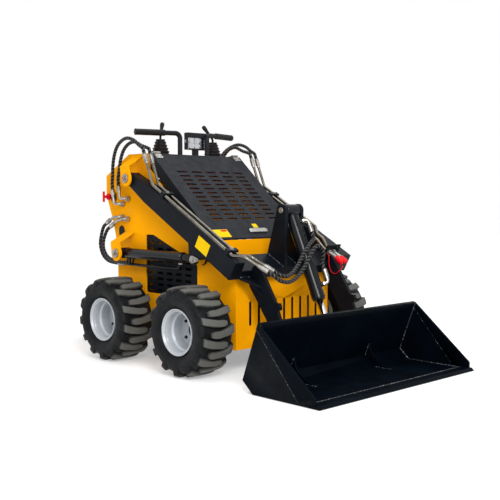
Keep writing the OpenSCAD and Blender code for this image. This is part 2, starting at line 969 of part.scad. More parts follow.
// Cheek under an arm that takes the lift rod's eye
module cheek_2d() {
    d = lift_eye - pivot;
    t = d * [cos(arm_slope), -sin(arm_slope)];
    translate(lift_eye) circle(r = cheek_r);
    polygon([
        arm_at(t - cheek_l / 2, -arm_d / 2), lift_eye + [-cheek_r, 0], lift_eye + [cheek_r, 0],
        arm_at(t + cheek_l / 2, -arm_d / 2)
    ]);
}

module arm_right() { arm(-1); }
module arm_left() { arm(1); }

module beam_2d() {
    polygon([
        arm_at(beam_t0, -arm_d / 2), arm_at(arm_l, -arm_d / 2), arm_at(arm_l, 0), arm_at(beam_t0, 0)
    ]);
}

module cross_beam() {
    color(black) slab(-arm_in, arm_in) beam_2d();
}

module leg(s) {
    outline = concat(
        [for (share = leg_rear_shares) leg_at(share)],
        [hinge + [-hinge_r, 0], hinge + [hinge_r, 0]],
        [for (share = leg_front_shares) leg_at(share)],
        [arm_at(arm_l, arm_d / 2)]
    );
    color(black)
        on_side(s) {
            slab(leg_in, leg_out)
                difference() {
                    union() {
                        polygon(outline);
                        translate(hinge) circle(r = hinge_r);
                    }
                    beam_2d();
                    translate(hinge) circle(r = hinge_pin_r + fit);
                }
            translate([pivot[0], 0, pivot[1]])
                rotate([0, arm_slope, 0])
                    translate([arm_l, 0, -arm_d / 2])
                        linear_extrude(gusset_t)
                            polygon([[0, leg_out], [gusset_l, leg_out], [0, arm_in]]);
            rib = leg_at(leg_rib_shares);
            translate([rib[0], 0, rib[1]])
                rotate([0, leg_rib_slope, 0])
                    linear_extrude(leg_rib_t)
                        polygon([[0, leg_out], [leg_rib_l, leg_out], [0, leg_out + leg_rib_w]]);
        }
}

module leg_right() { leg(-1); }
module leg_left() { leg(1); }

module tilt_tower() {
    color(black) {
        both_sides()
            slab(tower_in, tower_in + tower_t) {
                translate(tower_pin) circle(r = tower_r);
                polygon([
                    arm_at(beam_t0, 0), arm_at(arm_l, 0),
                    tower_pin + [tower_r, 0], tower_pin + [-tower_r, 0]
                ]);
            }
        bar_y(tower_pin, tilt_pin_r, -tower_in - tower_t, tower_in + tower_t);
    }
}

// Steel tubes on the arms: columns are t along and n above the arm
tube_r = 8;
tube_bend = 40;
tube_rows = [385, 426];
tube_rise = 14;
tube_n = arm_d / 2 + tube_rise;
tube_top = [50, 175];
tube_knee = 193;
tube_end = 920;
crimp_r = 12;
crimp_l = 55;
crimp_lap = 12;
coupler_r = 13;
coupler_l = 66;
coupler_rows = [313, 349];
coupler_n = 42;
coupler_nut_r = 17;
coupler_nut_l = 18;
// The left tubes shift inboard, run on beside the arm and end at the coupler plate
tube_leave = 670;
tube_beside = 750;
tube_turn = 800;
tube_down = 862;
beside_rows = [325, 361];
beside_n = [52, 64];
coupler_t = 896;
cap_r = 17;
cap_l = 52;
// The right tubes run on past the arm, level and then down and inwards
tube_level = [80, 0, 0];
tube_drop = [50, 60, -50];
function raised(p, y) = [p[0], y, p[1]];
function tube_head(y) = raised(arm_at(tube_top[0], tube_top[1]), y);
function tube_knee_at(y) = raised(arm_at(tube_knee, tube_n), y);
function tube_aim(y) = unit(tube_knee_at(y) - tube_head(y));
function tube_path(y) = [
    tube_head(y) + tube_aim(y) * (crimp_l - crimp_lap), tube_knee_at(y), raised(arm_at(tube_end, tube_n), y)
];
function drop_at(y) = raised(arm_at(tube_end, tube_n), y) + tube_level + tube_drop;
function drop_tip(y) = drop_at(y) + unit(tube_drop) * (crimp_l - crimp_lap);
module upper_crimp(y) {
    bar(tube_head(y), tube_head(y) + tube_aim(y) * crimp_l, crimp_r);
}

module arm_tubes() {
    color(steel)
        for (i = [0, 1]) {
            y = tube_rows[i];
            row = coupler_rows[i];
            left = tube_path(y);
            bent_tube(
                [
                    left[0], left[1],
                    raised(arm_at(tube_leave, tube_n), y),
                    raised(arm_at(tube_beside, beside_n[i]), beside_rows[i]),
                    raised(arm_at(tube_turn, beside_n[i]), beside_rows[i]),
                    raised(arm_at(tube_down, coupler_n), row),
                    raised(arm_at(coupler_t, coupler_n), row)
                ],
                tube_r, tube_bend
            );
            both_sides() upper_crimp(y);
            path = tube_path(-y);
            bent_tube(concat(path, [path[2] + tube_level, drop_at(-y)]), tube_r, tube_bend);
            bar(drop_at(-y) - unit(tube_drop) * crimp_lap, drop_tip(-y), crimp_r);
        }
}

// Clamps on the arms, and the plate on the cross beam that carries the couplers
clamp_l = 26;
clamp_right_shares = [0.30, 0.90];
clamp_left_shares = [0.30];
plate_w = 108;
plate_h = 82;
plate_gap = 1;
plate_ear_w = 32;
plate_l = 8;
strap_r = 9;
module on_arm(s) {
    on_side(s) translate([pivot[0], 0, pivot[1]]) rotate([0, arm_slope, 0]) children();
}

module clamps(shares) {
    for (t = shares * arm_l)
        difference() {
            translate([t, arm_in, arm_d / 2])
                cube([clamp_l, arm_w, tube_n + tube_r + clamp_l / 4 - arm_d / 2]);
            for (y = tube_rows)
                translate([t - over, y, tube_n])
                    rotate([0, 90, 0])
                        cylinder(r = tube_r + fit, h = clamp_l + 2 * over);
        }
}

module tube_clamps() {
    y0 = arm_in - plate_gap + plate_ear_w - plate_w;
    color(black) {
        on_arm(-1) clamps(clamp_right_shares);
        on_arm(1) {
            clamps(clamp_left_shares);
            translate([coupler_t, 0, 0])
                rotate([90, 0, 90])
                    linear_extrude(plate_l)
                        difference() {
                            polygon([
                                [y0, 0], [arm_in - plate_gap, 0], [arm_in - plate_gap, arm_d / 2 + plate_gap],
                                [y0 + plate_w, arm_d / 2 + plate_gap], [y0 + plate_w, plate_h], [y0, plate_h]
                            ]);
                            translate([y0 + plate_w - plate_ear_w / 2, (arm_d / 2 + plate_h) / 2])
                                circle(r = strap_r);
                        }
        }
    }
}

module couplers() {
    color(steel)
        on_arm(1)
            for (y = coupler_rows)
                translate([coupler_t + plate_l, y, coupler_n]) {
                    bar_x(0, coupler_l, coupler_r);
                    rotate([0, 90, 0]) cylinder(r = coupler_nut_r, h = coupler_nut_l, $fn = 6);
                }
}

module coupler_caps() {
    color(red)
        on_arm(1)
            for (y = coupler_rows)
                translate([coupler_t + plate_l + coupler_l, y, coupler_n]) bar_x(0, cap_l, cap_r);
}

pin_plate_t = 8;
pin_plate_r = 20;
pin_plate_tail_r = 9;
pin_plate_l = 38;
module rod_pin_plates() {
    color(steel)
        both_sides()
            slab(arm_out, arm_out + pin_plate_t)
                link_2d(lift_eye, pin_plate_r, lift_eye + [pin_plate_l, 0], pin_plate_tail_r);
}

// Cylinders: local X runs from the base pin to the rod's eye
eye_gap = 2;
lift_eye_r = 30;
lift_barrel_from = 32;
lift_barrel_to = 540;
lift_rod_from = 100;
tilt_eye_r = 32;
tilt_rod_eye_r = 27;
tilt_barrel_from = 34;
tilt_barrel_to = 500;
tilt_rod_from = 240;
module along_cylinder(a, b, y) {
    translate([a[0], y, a[1]]) rotate([0, -slope_of(a, b), 0]) children();
}

module barrel(r, from, to, rod_r, eye_r, eye_w, pin) {
    difference() {
        union() {
            bar_x(from, to, r);
            bar_y([0, 0], eye_r, -eye_w / 2, eye_w / 2);
            bar_x(0, from, rod_r);
        }
        bar_x(from + r, to + over, rod_r + fit);
        bar_y([0, 0], pin + fit, -eye_w, eye_w);
    }
}

module rod(l, from, r, eye_r, eye_w) {
    bar_x(from, l, r);
    translate([l, 0, 0]) bar_y([0, 0], eye_r, -eye_w / 2, eye_w / 2);
}

lift_eye_w = arm_w - 2 * cheek_t - 2 * eye_gap;
// Ports under a lift barrel: a pipe to the rod's end and a boss at the base
pipe_y = -14;
pipe_drop = 64;
pipe_from = -70;
pipe_to = 470;
pipe_rise = 40;
port_x = 62;
port_y = 8;
port_r = 10;
port_drop = 66;
port_seat = (lift_r + lift_rod_r) / 2;
module lift_barrel(s) {
    color(black)
        on_side(s)
            along_cylinder(lift_base, lift_eye, arm_y) {
                barrel(lift_r, lift_barrel_from, lift_barrel_to, lift_rod_r, lift_eye_r, arm_w, pin_r);
                bent_tube(
                    [[pipe_from + crimp_l - crimp_lap, pipe_y, -pipe_drop], [pipe_to, pipe_y, -pipe_drop],
                     [pipe_to + pipe_rise, 0, -port_seat]],
                    tube_r, tube_bend
                );
                translate([0, pipe_y, -pipe_drop]) bar_x(pipe_from, pipe_from + crimp_l, crimp_r);
                translate([port_x, port_y, -port_drop]) cylinder(r = port_r, h = port_drop - port_seat);
            }
}

module lift_rod(s) {
    color(steel)
        on_side(s)
            along_cylinder(lift_base, lift_eye, arm_y)
                rod(norm(lift_eye - lift_base), lift_rod_from, lift_rod_r, lift_eye_r, lift_eye_w);
}

module lift_barrel_right() { lift_barrel(-1); }
module lift_barrel_left() { lift_barrel(1); }
module lift_rod_right() { lift_rod(-1); }
module lift_rod_left() { lift_rod(1); }

tilt_eye_w = 60;
tilt_ear_t = 12;
// Ports of the tilt barrel: places along it, turn towards the left, start and length
tilt_ports = [75, 425];
tilt_port_turn = 45;
tilt_port_share = 0.85;
tilt_port_l = 22;
// Elbows on the ports: each turns along the barrel, the upper one down and the lower one up
tilt_elbow = 72;
tilt_leg = 70;
tilt_bend = 16;
tilt_ways = [1, -1];
tilt_across = [0, 1, -1];
tilt_out = [0, sin(tilt_port_turn), cos(tilt_port_turn)];
module tilt_barrel() {
    color(black)
        along_cylinder(tower_pin, tilt_eye, 0) {
            barrel(
                tilt_r, tilt_barrel_from, tilt_barrel_to, tilt_rod_r,
                tilt_eye_r, 2 * tower_in - 2 * eye_gap, tilt_pin_r
            );
            for (i = [0, 1])
                translate([tilt_ports[i], 0, 0]) {
                    rotate([-tilt_port_turn, 0, 0])
                        translate([0, 0, tilt_r * tilt_port_share]) cylinder(r = port_r, h = tilt_port_l);
                    way = [tilt_ways[i], 0, 0];
                    corner = tilt_out * tilt_elbow;
                    crimp = corner + way * (tilt_leg - crimp_l);
                    bent_tube(
                        [tilt_out * tilt_r, corner, crimp + way * crimp_lap],
                        tube_r, tilt_bend, tilt_across
                    );
                    bar(crimp, corner + way * tilt_leg, crimp_r);
                }
        }
}

module tilt_rod() {
    color(steel)
        along_cylinder(tower_pin, tilt_eye, 0)
            rod(norm(tilt_eye - tower_pin), tilt_rod_from, tilt_rod_r, tilt_rod_eye_r, tilt_eye_w);
}

// Bucket: the side plates carry a thicker strip along their front edges
strip_foot = 98;
strip_head = 26;
strip_in = 4;
strip_out = 2;
lip_w = 34;
lip_t = 8;
module bucket_shell() {
    w = bucket_w / 2;
    back = [bucket_top, bucket_heel, bucket_base, [tip_x - edge_l, ground_gap]];
    front = [
        [tip_x - edge_l, ground_gap + edge_t], [tip_x - side_front, ground_gap + edge_t],
        [tip_x - side_front, side_front_h]
    ];
    down = unit(bucket_heel - bucket_top);
    rear = -turn(down);
    color(black) {
        slab(-w + bucket_t, w - bucket_t) polygon(sheet_points(back, bucket_t));
        slab(-w + bucket_t, w - bucket_t)
            polygon([bucket_top, bucket_top + rear * lip_t, bucket_top + rear * lip_t + down * lip_w,
                     bucket_top + down * lip_w]);
        both_sides() {
            slab(w - bucket_t - strip_out, w - strip_out) polygon(concat(back, front));
            slab(w - bucket_t - strip_in, w)
                polygon(concat(
                    [bucket_top, bucket_top + down * strip_head],
                    [[tip_x - side_front - strip_foot, ground_gap + edge_t], front[1], front[2]]
                ));
        }
    }
}

module bucket_edge() {
    w = bucket_w / 2;
    color(black)
        slab(-w, w)
            polygon([
                [tip_x - edge_l, ground_gap], [tip_x, ground_gap],
                [tip_x - edge_t, ground_gap + edge_t], [tip_x - edge_l, ground_gap + edge_t]
            ]);
}

// Gussets in the bucket's corner, in line with the legs
web_y = 290;
web_t = 8;
web_share = 0.264;
web_ahead = 643;
web_bow_ahead = 500;
web_bow_z = 34;
bow_steps = 5;
module bucket_gussets() {
    line = [
        bucket_heel + (bucket_top - bucket_heel) * web_share, bucket_heel, bucket_base,
        [ahead(web_ahead), ground_gap]
    ];
    seat = side_step(line, bucket_t + fit);
    bow = [ahead(web_bow_ahead), web_bow_z];
    edge = [
        for (i = [1:bow_steps - 1])
            let (t = i / bow_steps)
            seat[3] * (1 - t) * (1 - t) + bow * 2 * t * (1 - t) + seat[0] * t * t
    ];
    color(black)
        both_sides()
            slab(web_y - web_t / 2, web_y + web_t / 2) polygon(concat(seat, edge));
}

attach_w = 700;
attach_t = 14;
attach_lo = 25;
attach_hi = 248;
ear_pair_gap = 6;
hinge_ear_t = 12;
hinge_ear_r = 34;
tilt_ear_r = 34;
module attach_plate() {
    up = unit(bucket_top - bucket_heel);
    out = turn(up);
    lo = bucket_heel + up * attach_lo;
    hi = bucket_heel + up * attach_hi;
    color(black) {
        slab(-attach_w / 2, attach_w / 2)
            polygon([lo + out * fit, hi + out * fit, hi + out * attach_t, lo + out * attach_t]);
        both_sides() {
            for (y = [leg_in - ear_pair_gap - hinge_ear_t, leg_out + ear_pair_gap])
                slab(y, y + hinge_ear_t) ear_2d(hinge, hinge_ear_r, up, out);
            bar_y(hinge, hinge_pin_r, leg_in - ear_pair_gap, leg_out + ear_pair_gap);
            slab(tilt_eye_w / 2 + eye_gap, tilt_eye_w / 2 + eye_gap + tilt_ear_t)
                ear_2d(tilt_eye, tilt_ear_r, up, out);
        }
    }
}

// Ear from the attach plate's rear face to a pin
module ear_2d(pin, r, up, out) {
    gap = (pin - bucket_heel) * out - attach_t;
    foot = pin - out * gap;
    translate(pin) circle(r = r);
    polygon([pin + up * r, pin - up * r, foot - up * r, foot + up * r]);
}

// Hoses: each route runs from crimp to crimp, straight at its ends and through hand-chosen points between
hose_r = 10;
hose_gap = 0.6;
hose_lead = 36;
function run_out(p, aim) = [p + aim * hose_gap, p + aim * hose_lead];
function run_in(p, aim) = [p + aim * hose_lead, p + aim * hose_gap];
function fitting_end(i) = fitting_routes[i][len(fitting_routes[i]) - 1];

// From the bulkhead over the pivot to the tubes on the arm, inner hose first
boom_mids = from_axle([
    [[-790, 389, 1055], [-780, 388, 1105], [-751, 388, 1160], [-706, 387, 1195], [-646, 386, 1206],
     [-584, 385, 1183]],
    [[-849, 395, 1020], [-838, 400, 1075], [-818, 405, 1130], [-781, 412, 1180], [-726, 419, 1213],
     [-664, 424, 1226], [-601, 426, 1212], [-551, 426, 1182]]
]);
module boom_hoses() {
    color(rubber)
        both_sides()
            for (i = [0, 1]) {
                y = tube_rows[i];
                hose(
                    concat(
                        run_out(fitting_end(i), fitting_aim(fitting_routes[i])),
                        boom_mids[i],
                        run_in(tube_head(y), -tube_aim(y))
                    ),
                    hose_r, [0, 1, 0]
                );
            }
}

// From the bulkhead round the back of the lift barrel to its port and to its pipe
lift_mids = from_axle([
    [[-934, 402, 650], [-928, 407, 595], [-876, 411, 548], [-786, 413, 530]],
    [[-971, 392, 680], [-984, 392, 620], [-961, 391, 562], [-906, 391, 527]]
]);
function on_lift(p) =
    let (u = unit(lift_eye - lift_base))
    raised(lift_base + p[0] * u + p[2] * turn(u), arm_y + p[1]);
lift_aim = raised(-unit(lift_eye - lift_base), 0);
lift_ends = [
    on_lift([port_x - port_r, port_y, port_r + hose_gap - port_drop]),
    on_lift([pipe_from, pipe_y, -pipe_drop])
];
module lift_hoses() {
    color(rubber)
        both_sides()
            for (i = [0, 1])
                hose(
                    concat(
                        run_out(fitting_end(i + 2), fitting_aim(fitting_routes[i + 2])),
                        lift_mids[i],
                        run_in(lift_ends[i], lift_aim)
                    ),
                    hose_r, [0, 1, 0]
                );
}

// From the right tubes across to the elbows of the tilt barrel
tilt_mids = from_axle([
    [[384, -232, 508], [371, -172, 524], [354, -114, 560], [341, -64, 606], [329, -14, 646]],
    [[388, -277, 488], [392, -217, 480], [386, -150, 505], [380, -94, 552], [376, -50, 606], [376, -8, 645],
     [380, 28, 640], [378, 47, 604]]
]);
tilt_along = unit(tilt_eye - tower_pin);
tilt_port_aim = raised(turn(tilt_along) * cos(tilt_port_turn), sin(tilt_port_turn));
function tilt_way(i) = raised(tilt_along * tilt_ways[i], 0);
function tilt_end(i) =
    raised(tower_pin + tilt_ports[i] * tilt_along, 0) + tilt_port_aim * tilt_elbow + tilt_way(i) * tilt_leg;
module tilt_hoses() {
    color(rubber)
        for (i = [0, 1])
            hose(
                concat(
                    run_out(drop_tip(-tube_rows[i]), unit(tube_drop)),
                    tilt_mids[i],
                    run_in(tilt_end(i), tilt_way(i))
                ),
                hose_r, [1, 0, 0]
            );
}

side_plate_right();
side_plate_left();
belly_pan();
rear_panel();
front_grille();
nose_deck();
front_band();
console();
side_mesh();
engine_block();
wheel_motors();
platform();
grab_bars();
joystick_boots();
joysticks();
work_lamp();
lamp_lens();
isolator_switch();
plate_plugs();
bulkhead_fittings();
hood_hinges();
pivot_pins();
boom_hoses();
lift_hoses();
hood();
hood_handle();
arm_right();
arm_left();
cross_beam();
leg_right();
leg_left();
tilt_tower();
arm_tubes();
tube_clamps();
couplers();
coupler_caps();
rod_pin_plates();
tilt_hoses();
lift_barrel_right();
lift_barrel_left();
lift_rod_right();
lift_rod_left();
tilt_barrel();
tilt_rod();
bucket_shell();
bucket_gussets();
bucket_edge();
attach_plate();
tyre_front_right();
tyre_front_left();
tyre_rear_right();
tyre_rear_left();
rim_front_right();
rim_front_left();
rim_rear_right();
rim_rear_left();
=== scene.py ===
"""Looks of a wheeled stand-on mini loader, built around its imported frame.

Lengths are in metres. +X points to the bucket, +Y to the machine's left and +Z up.
"""

import json
import math

import bmesh
import bpy
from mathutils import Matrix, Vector


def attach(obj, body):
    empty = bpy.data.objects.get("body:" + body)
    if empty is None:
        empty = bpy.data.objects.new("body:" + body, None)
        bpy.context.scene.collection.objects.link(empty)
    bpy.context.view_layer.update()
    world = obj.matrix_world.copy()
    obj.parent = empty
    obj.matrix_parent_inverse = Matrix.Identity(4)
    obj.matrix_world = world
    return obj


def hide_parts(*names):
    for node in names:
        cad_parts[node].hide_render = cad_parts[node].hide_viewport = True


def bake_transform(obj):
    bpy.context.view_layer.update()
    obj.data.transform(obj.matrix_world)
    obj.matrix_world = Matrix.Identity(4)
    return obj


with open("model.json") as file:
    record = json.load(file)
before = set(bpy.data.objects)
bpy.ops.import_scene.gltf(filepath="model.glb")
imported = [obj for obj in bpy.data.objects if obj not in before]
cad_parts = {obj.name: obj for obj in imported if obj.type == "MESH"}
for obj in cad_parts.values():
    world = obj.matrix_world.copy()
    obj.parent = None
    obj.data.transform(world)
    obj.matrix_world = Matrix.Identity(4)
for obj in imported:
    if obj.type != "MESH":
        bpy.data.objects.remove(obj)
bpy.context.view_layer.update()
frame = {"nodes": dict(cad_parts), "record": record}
BODY_OF = {n: b for b, ns in frame["record"]["behaviour"]["bodies"].items() for n in ns}
SIDES = (("right", -1), ("left", 1))

# Places repeated from the part's source
AXLE_X = {"front": 0.206, "rear": -0.437}
WHEEL_Y, TYRE_R, TYRE_W = 0.522, 0.228, 0.215
RIM_R = 0.117
INNER_Y, OUTER_Y = 0.342, 0.350
CONSOLE_Z = 1.141
STICK_X, STICK_Y = -0.444, 0.200
PIVOT = Vector((-0.424, 0, 1.0))
LIFT_BASE = Vector((-0.521, 0, 0.581))
LIFT_EYE = Vector((0.126, 0, 0.577))
TOWER_PIN = Vector((0.394, 0, 0.827))
TILT_EYE = Vector((0.656, 0, 0.250))
ARM_SLOPE = math.radians(29.1)
ARM_L, ARM_Y, ARM_OUT = 0.966, 0.405, 0.440
EAR_Y = 0.462
HOOD_TOP = Vector((-0.352, 0, 1.141))
HOOD_LOW = Vector((0.176, 0, 0.680))
HOOD_ALONG = (HOOD_LOW - HOOD_TOP).normalized()
HOOD_UP = Vector((-HOOD_ALONG.z, 0, HOOD_ALONG.x))
LEFTWARD = Vector((0, 1, 0))
UPWARD = Vector((0, 0, 1))
FORWARD = Vector((1, 0, 0))


def arm_at(t, n, y):
    """Point at t along an arm from the pivot and n above its middle line."""
    along = Vector((math.cos(ARM_SLOPE), 0, -math.sin(ARM_SLOPE)))
    up = Vector((math.sin(ARM_SLOPE), 0, math.cos(ARM_SLOPE)))
    return PIVOT + along * t + up * n + LEFTWARD * y


def on_hood(along, y, up=0.0):
    """Point on the hood's face at a distance down its slope."""
    return HOOD_TOP + HOOD_ALONG * along + HOOD_UP * up + LEFTWARD * y


def mirrored(points, side):
    """The points of the left side, or their mirror on the right."""
    return [Vector((p[0], side * p[1], p[2])) for p in points]


# Materials: what every finish shares
COAT_ROUGHNESS = 0.12
BUMP_DEPTH = 0.002
GLOSS_SHARES, GLOSS_FINENESS = (0.85, 1.2), 3
SPOT_SHARE, SPOT_EDGE, SPOT_DETAIL = 0.85, 0.05, 8.0


def add_node(tree, kind, **values):
    made = tree.nodes.new(kind)
    for key, value in values.items():
        if key in made.inputs:
            made.inputs[key].default_value = value
        else:
            setattr(made, key, value)
    return made


def noise_range(tree, scale, low, high, detail=4.0, start=0.35, end=0.65):
    """Noise over the object's own places, spread between two values."""
    place = add_node(tree, "ShaderNodeTexCoord")
    cloud = add_node(tree, "ShaderNodeTexNoise", Scale=scale, Detail=detail)
    spread = add_node(
        tree, "ShaderNodeMapRange", **{"From Min": start, "From Max": end, "To Min": low, "To Max": high},
    )
    tree.links.new(place.outputs["Object"], cloud.inputs["Vector"])
    tree.links.new(cloud.outputs["Fac"], spread.inputs["Value"])
    return spread.outputs["Result"]


def new_material(name):
    made = bpy.data.materials.new(name)
    made.use_nodes = True
    return made, made.node_tree, made.node_tree.nodes["Principled BSDF"]


def mix_colours(tree, share, a, b):
    """Colour between a and b; each is a colour or an output socket."""
    mix = add_node(tree, "ShaderNodeMix", data_type="RGBA")
    tree.links.new(share, mix.inputs["Factor"])
    for name, value in (("A", a), ("B", b)):
        socket = next(s for s in mix.inputs if s.name == name and s.type == "RGBA")
        if isinstance(value, bpy.types.NodeSocket):
            tree.links.new(value, socket)
        else:
            socket.default_value = (*value, 1)
    return next(s for s in mix.outputs if s.type == "RGBA")


def finish_of(
    name, colour, roughness, metallic=0.0, vary=0.1, patch=7.0, grain=600.0, bump=0.03,
    spots=None, spot_scale=60.0, spot_cut=0.68, coat=0.0, specular=0.5, attribute=None, raised=None,
):
    """Patchy tone, uneven gloss, a fine bump and, if asked, spots of another colour (wear on paint, painted
    highlights on weld beads) or a raised colour.
    """
    made, tree, shader = new_material(name)
    shader.inputs["Metallic"].default_value = metallic
    shader.inputs["Coat Weight"].default_value = coat
    shader.inputs["Coat Roughness"].default_value = COAT_ROUGHNESS
    shader.inputs["Specular IOR Level"].default_value = specular
    dark = tuple(c * (1 - vary) for c in colour)
    light = tuple(min(1, c * (1 + vary)) for c in colour)
    tone = mix_colours(tree, noise_range(tree, patch, 0, 1), dark, light)
    if attribute:
        shown = add_node(tree, "ShaderNodeAttribute", attribute_name=attribute)
        tone = mix_colours(tree, shown.outputs["Fac"], tone, raised)
    if spots:
        share = noise_range(tree, spot_scale, 0, SPOT_SHARE, SPOT_DETAIL, spot_cut, spot_cut + SPOT_EDGE)
        tone = mix_colours(tree, share, tone, spots)
    tree.links.new(tone, shader.inputs["Base Color"])
    smooth, dull = (roughness * share for share in GLOSS_SHARES)
    gloss = noise_range(tree, patch * GLOSS_FINENESS, smooth, min(1, dull))
    tree.links.new(gloss, shader.inputs["Roughness"])
    skin = add_node(tree, "ShaderNodeBump", Strength=bump, Distance=BUMP_DEPTH)
    tree.links.new(noise_range(tree, grain, 0, 1), skin.inputs["Height"])
    tree.links.new(skin.outputs["Normal"], shader.inputs["Normal"])
    return made


YELLOW_TONE = (0.97, 0.388, 0.0005)
YELLOW = finish_of("yellow_coat", YELLOW_TONE, 0.45, vary=0.03, grain=900, bump=0.02, specular=0.025)
# Grille: the yellow coat, with a near-black painted shade on its slot walls
GRILLE = finish_of(
    "grille_coat", YELLOW_TONE, 0.45, vary=0.03, grain=900, bump=0.02, specular=0.025,
    attribute="painted_slot_shade", raised=(0.004, 0.0045, 0.006),
)
BLACK = finish_of(
    "black_coat", (0.0042, 0.0058, 0.0088), 0.36, vary=0.25, grain=700, bump=0.05, specular=0.085,
    spots=(0.03, 0.034, 0.038), spot_scale=90, spot_cut=0.77,
)
GLOSS_BLACK = finish_of(
    "cylinder_coat", (0.004, 0.005, 0.007), 0.2, vary=0.2, grain=900, bump=0.02, specular=0.22,
)
BUCKET = finish_of(
    "bucket_coat", (0.0012, 0.0027, 0.0052), 0.34, vary=0.3, grain=500, bump=0.04, specular=0.025,
    spots=(0.010, 0.013, 0.017), spot_scale=70, spot_cut=0.78,
)
# Weld beads: the pale spots are painted highlights on the glossy beads, along with a few specks on the bead
WELD = finish_of(
    "weld_bead", (0.008, 0.010, 0.014), 0.28, vary=0.4, patch=90, grain=900, bump=0.1, specular=0.4,
    spots=(0.26, 0.28, 0.31), spot_scale=150, spot_cut=0.56,
)
HOOD_GREY = finish_of(
    "hood_coat", (0.0100, 0.012, 0.0158), 0.5, vary=0.06, grain=1200, bump=0.06, specular=0.12,
)
# Dark grey on the nose deck: painted shade for the shadow that falls on this ledge
DECK_SHADE = finish_of("deck_painted_shade", (0.010, 0.010, 0.010), 0.5, vary=0.15, grain=900, bump=0.06, specular=0.15)
ZINC = finish_of(
    "zinc", (0.36, 0.35, 0.325), 0.32, metallic=1.0, vary=0.3, patch=30, grain=800, bump=0.05,
)
TUBE_STEEL = finish_of(
    "tube_steel", (0.195, 0.178, 0.148), 0.24, metallic=1.0, vary=0.2, patch=26, grain=800, bump=0.03,
)
CHROME = finish_of(
    "chrome", (0.62, 0.63, 0.65), 0.12, metallic=1.0, vary=0.05, patch=20, grain=900, bump=0.01,
)
BRUSHED = finish_of("brushed_handle", (0.42, 0.42, 0.40), 0.34, metallic=1.0, vary=0.1, patch=40, bump=0.04)
RIM_COAT = finish_of(
    "rim_coat", (0.47, 0.495, 0.525), 0.4, metallic=0.2, vary=0.05, grain=900, bump=0.03, specular=0.3,
)
TYRE = finish_of(
    "tyre_rubber", (0.0064, 0.007, 0.0082), 0.5, vary=0.35, patch=18, grain=320, bump=0.12,
    specular=0.12, attribute="lug_top", raised=(0.108, 0.107, 0.098),
)
# Hose sleeve: its pale colour on the spiral's crests is a painted highlight
HOSE = finish_of(
    "hose_sleeve", (0.0035, 0.0035, 0.004), 0.4, vary=0.3, patch=60, grain=700, bump=0.1, specular=0.14,
    attribute="ridge", raised=(0.13, 0.13, 0.135),
)
RUBBER = finish_of(
    "soft_rubber", (0.006, 0.006, 0.007), 0.4, vary=0.2, patch=25, grain=500, bump=0.1, specular=0.2,
)
PLASTIC = finish_of(
    "black_plastic", (0.007, 0.008, 0.010), 0.42, vary=0.15, grain=900, bump=0.08, specular=0.15,
)
RED = finish_of(
    "red_plastic", (0.68, 0.004, 0.012), 0.3, vary=0.08, patch=30, grain=700, bump=0.03, specular=0.15,
)
STICKER = finish_of(
    "sticker", (0.80, 0.52, 0.002), 0.35, vary=0.04, patch=12, grain=900, bump=0.02, specular=0.05,
)
STICKER_RED = finish_of(
    "sticker_red", (0.60, 0.02, 0.006), 0.35, vary=0.05, patch=12, bump=0.02, specular=0.1,
)
BLOCK = finish_of(
    "cast_block", (0.010, 0.010, 0.011), 0.6, vary=0.4, patch=12, grain=200, bump=0.2, specular=0.2,
)
PIN_END = finish_of("pin_end", (0.30, 0.25, 0.20), 0.42, metallic=0.9, vary=0.25, patch=60, bump=0.05)
LED = finish_of("led_lens", (0.80, 0.84, 0.88), 0.08, vary=0.05, patch=80, bump=0.02, coat=0.6)
REFLECTOR = finish_of("lamp_mirror", (0.55, 0.56, 0.58), 0.2, metallic=1.0, vary=0.1, patch=60, bump=0.02)


# Pieces: radius of a pointed end, and how narrow the painted highlight along the crest of a hose's spiral is
POINT_R = 1e-4
CREST_STEEPNESS = 6
# A bolt in parts of its head's corner radius: washer and head as (place along, radius)
WASHER_SHARES = ((0, 1.45), (0.2, 1.45), (0.25, 1.35))
HEAD_SHARES = ((0, 1), (0.62, 1), (0.78, 0.82), (0.78, 0.5))


def across(aim):
    """Two directions square to aim and to each other."""
    e = aim.cross(FORWARD if abs(aim.y) > 0.9 else LEFTWARD).normalized()
    return e, aim.cross(e)


